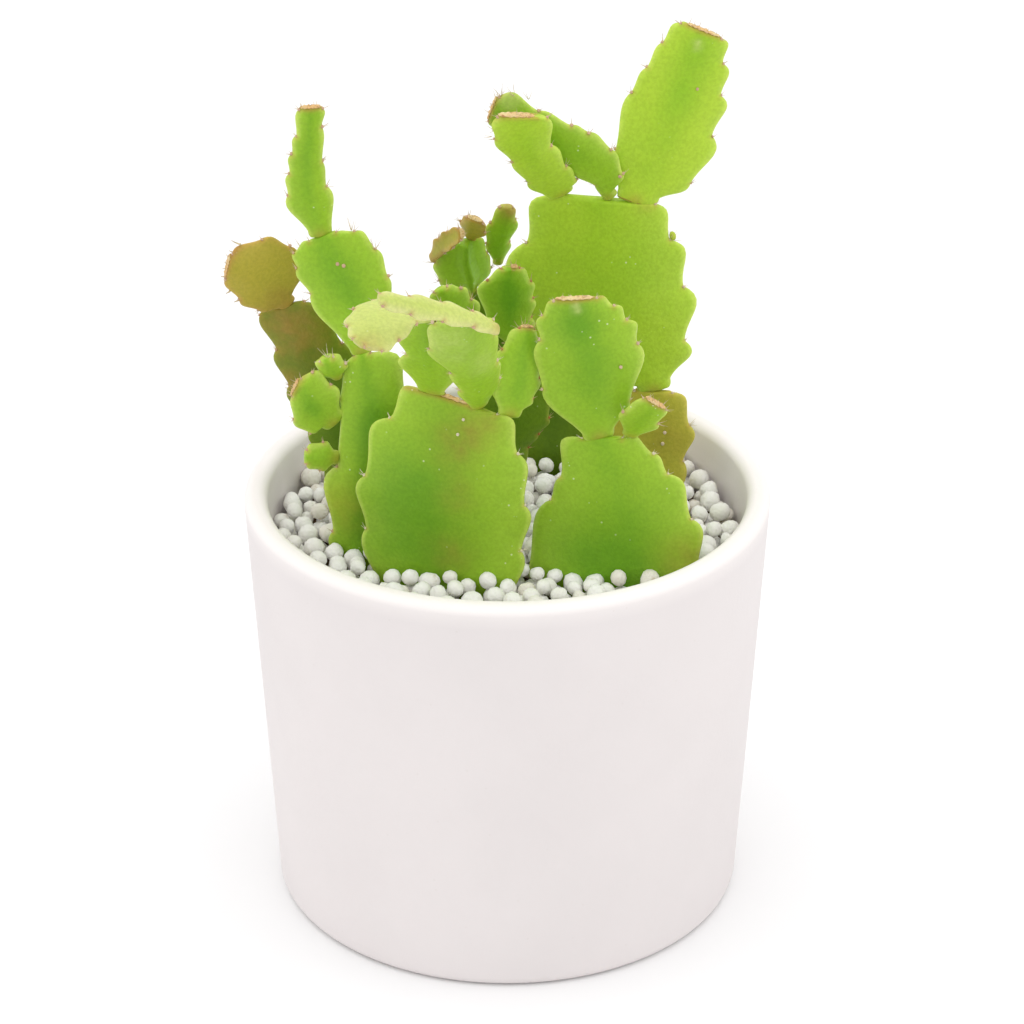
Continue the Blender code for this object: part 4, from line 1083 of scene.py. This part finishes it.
def build_stage():
    """Set the pale floor, the even sky, the soft lights and the camera of the photograph."""
    scene = bpy.context.scene
    settings = scene.cactus_stage
    floor_mesh = bpy.data.meshes.new("floor")
    floor_mesh.from_pydata([(-3, -3, 0), (3, -3, 0), (3, 3, 0), (-3, 3, 0)], [], [(0, 1, 2, 3)])
    material, tree, shader, place = new_material("floor_paint", 0.9, 0.1)
    grain = add_grain(tree, place, tuple(settings.floor), tuple(0.98 * value for value in settings.floor), 3.0, 40.0, 0.5)
    tree.links.new(grain["Colour"], shader.inputs["Base Color"])
    floor_mesh.materials.append(material)
    floor = bpy.data.objects.new("floor", floor_mesh)
    scene.collection.objects.link(floor)

    world = bpy.data.worlds.new("soft_studio")
    world.use_nodes = True
    background = world.node_tree.nodes["Background"]
    background.inputs["Color"].default_value = (1.0, 1.0, 1.0, 1.0)
    background.inputs["Strength"].default_value = settings.sky
    scene.world = world
    add_area_light("overhead_light", (0.0, -0.2, 1.7), (0.0, -0.2, 0.0), 2.0, settings.overhead)
    add_area_light("left_light", (-1.6, -0.2, 0.9), (0.0, 0.0, 0.08), 1.2, settings.side)
    add_area_light("right_light", (1.6, -0.2, 0.9), (0.0, 0.0, 0.08), 1.2, settings.side)
    scene.view_settings.view_transform = "Standard"

    camera = bpy.data.objects.new("camera", bpy.data.cameras.new("camera"))
    camera.data.sensor_width = 36.0
    camera.data.lens = 3646 / 1024 * 36.0
    camera.location = (0.00087, -0.620, 0.393)
    camera.rotation_euler = (radians(90 - 26.93), 0, 0)
    scene.collection.objects.link(camera)
    scene.camera = camera


# Operators and panel

class CACTUS_OT_build_pot(bpy.types.Operator):
    """Build the turned ceramic pot"""

    bl_idname = "cactus.build_pot"
    bl_label = "Build Pot"

    def execute(self, context):
        build_pot()
        return {"FINISHED"}


class CACTUS_OT_finish_soil(bpy.types.Operator):
    """Give the soil its crumbly surface"""

    bl_idname = "cactus.finish_soil"
    bl_label = "Finish Soil"

    def execute(self, context):
        finish_soil()
        return {"FINISHED"}


class CACTUS_OT_build_pebbles(bpy.types.Operator):
    """Fill the pot's top with pale pebbles"""

    bl_idname = "cactus.build_pebbles"
    bl_label = "Build Pebbles"

    def execute(self, context):
        build_pebbles()
        return {"FINISHED"}


class CACTUS_OT_build_pads(bpy.types.Operator):
    """Build the flat lobed pads of the seven stems"""

    bl_idname = "cactus.build_pads"
    bl_label = "Build Pads"

    def execute(self, context):
        build_pads()
        return {"FINISHED"}


class CACTUS_OT_build_growths(bpy.types.Operator):
    """Build the joints, areoles, bristles, dry apices and the bud on the pads"""

    bl_idname = "cactus.build_growths"
    bl_label = "Build Small Growths"

    def execute(self, context):
        build_joints()
        build_areoles()
        build_bristles()
        build_scars()
        build_bud()
        return {"FINISHED"}


class CACTUS_OT_build_stage(bpy.types.Operator):
    """Set up the floor, the soft light and the camera"""

    bl_idname = "cactus.build_stage"
    bl_label = "Build Stage"

    def execute(self, context):
        build_stage()
        return {"FINISHED"}


class CACTUS_PT_panel(bpy.types.Panel):
    """Settings and steps of the potted cactus"""

    bl_label = "Potted Cactus"
    bl_idname = "CACTUS_PT_panel"
    bl_space_type = "VIEW_3D"
    bl_region_type = "UI"
    bl_category = "Cactus"

    def draw(self, context):
        for operator in OPERATORS:
            self.layout.operator(operator.bl_idname)
        for key in SETTINGS:
            group = getattr(context.scene, key)
            box = self.layout.box()
            for name in group.__annotations__:
                box.prop(group, name)


SETTINGS = {"cactus_pot": PotSettings, "cactus_plant": PlantSettings, "cactus_stage": StageSettings}
OPERATORS = (CACTUS_OT_build_stage, CACTUS_OT_build_pot, CACTUS_OT_finish_soil, CACTUS_OT_build_pebbles,
             CACTUS_OT_build_pads, CACTUS_OT_build_growths)


def register():
    """Register the settings, operators and panel."""
    for item in (*SETTINGS.values(), *OPERATORS, CACTUS_PT_panel):
        bpy.utils.register_class(item)
    for key, group in SETTINGS.items():
        setattr(bpy.types.Scene, key, PointerProperty(type=group))


def unregister():
    """Remove the settings, operators and panel."""
    for key in SETTINGS:
        delattr(bpy.types.Scene, key)
    for item in reversed((*SETTINGS.values(), *OPERATORS, CACTUS_PT_panel)):
        bpy.utils.unregister_class(item)


def main():
    """Build everything."""
    register()
    for operator in OPERATORS:
        name = operator.bl_idname.split(".")[1]
        getattr(bpy.ops.cactus, name)()


if __name__ == "__main__":
    main()
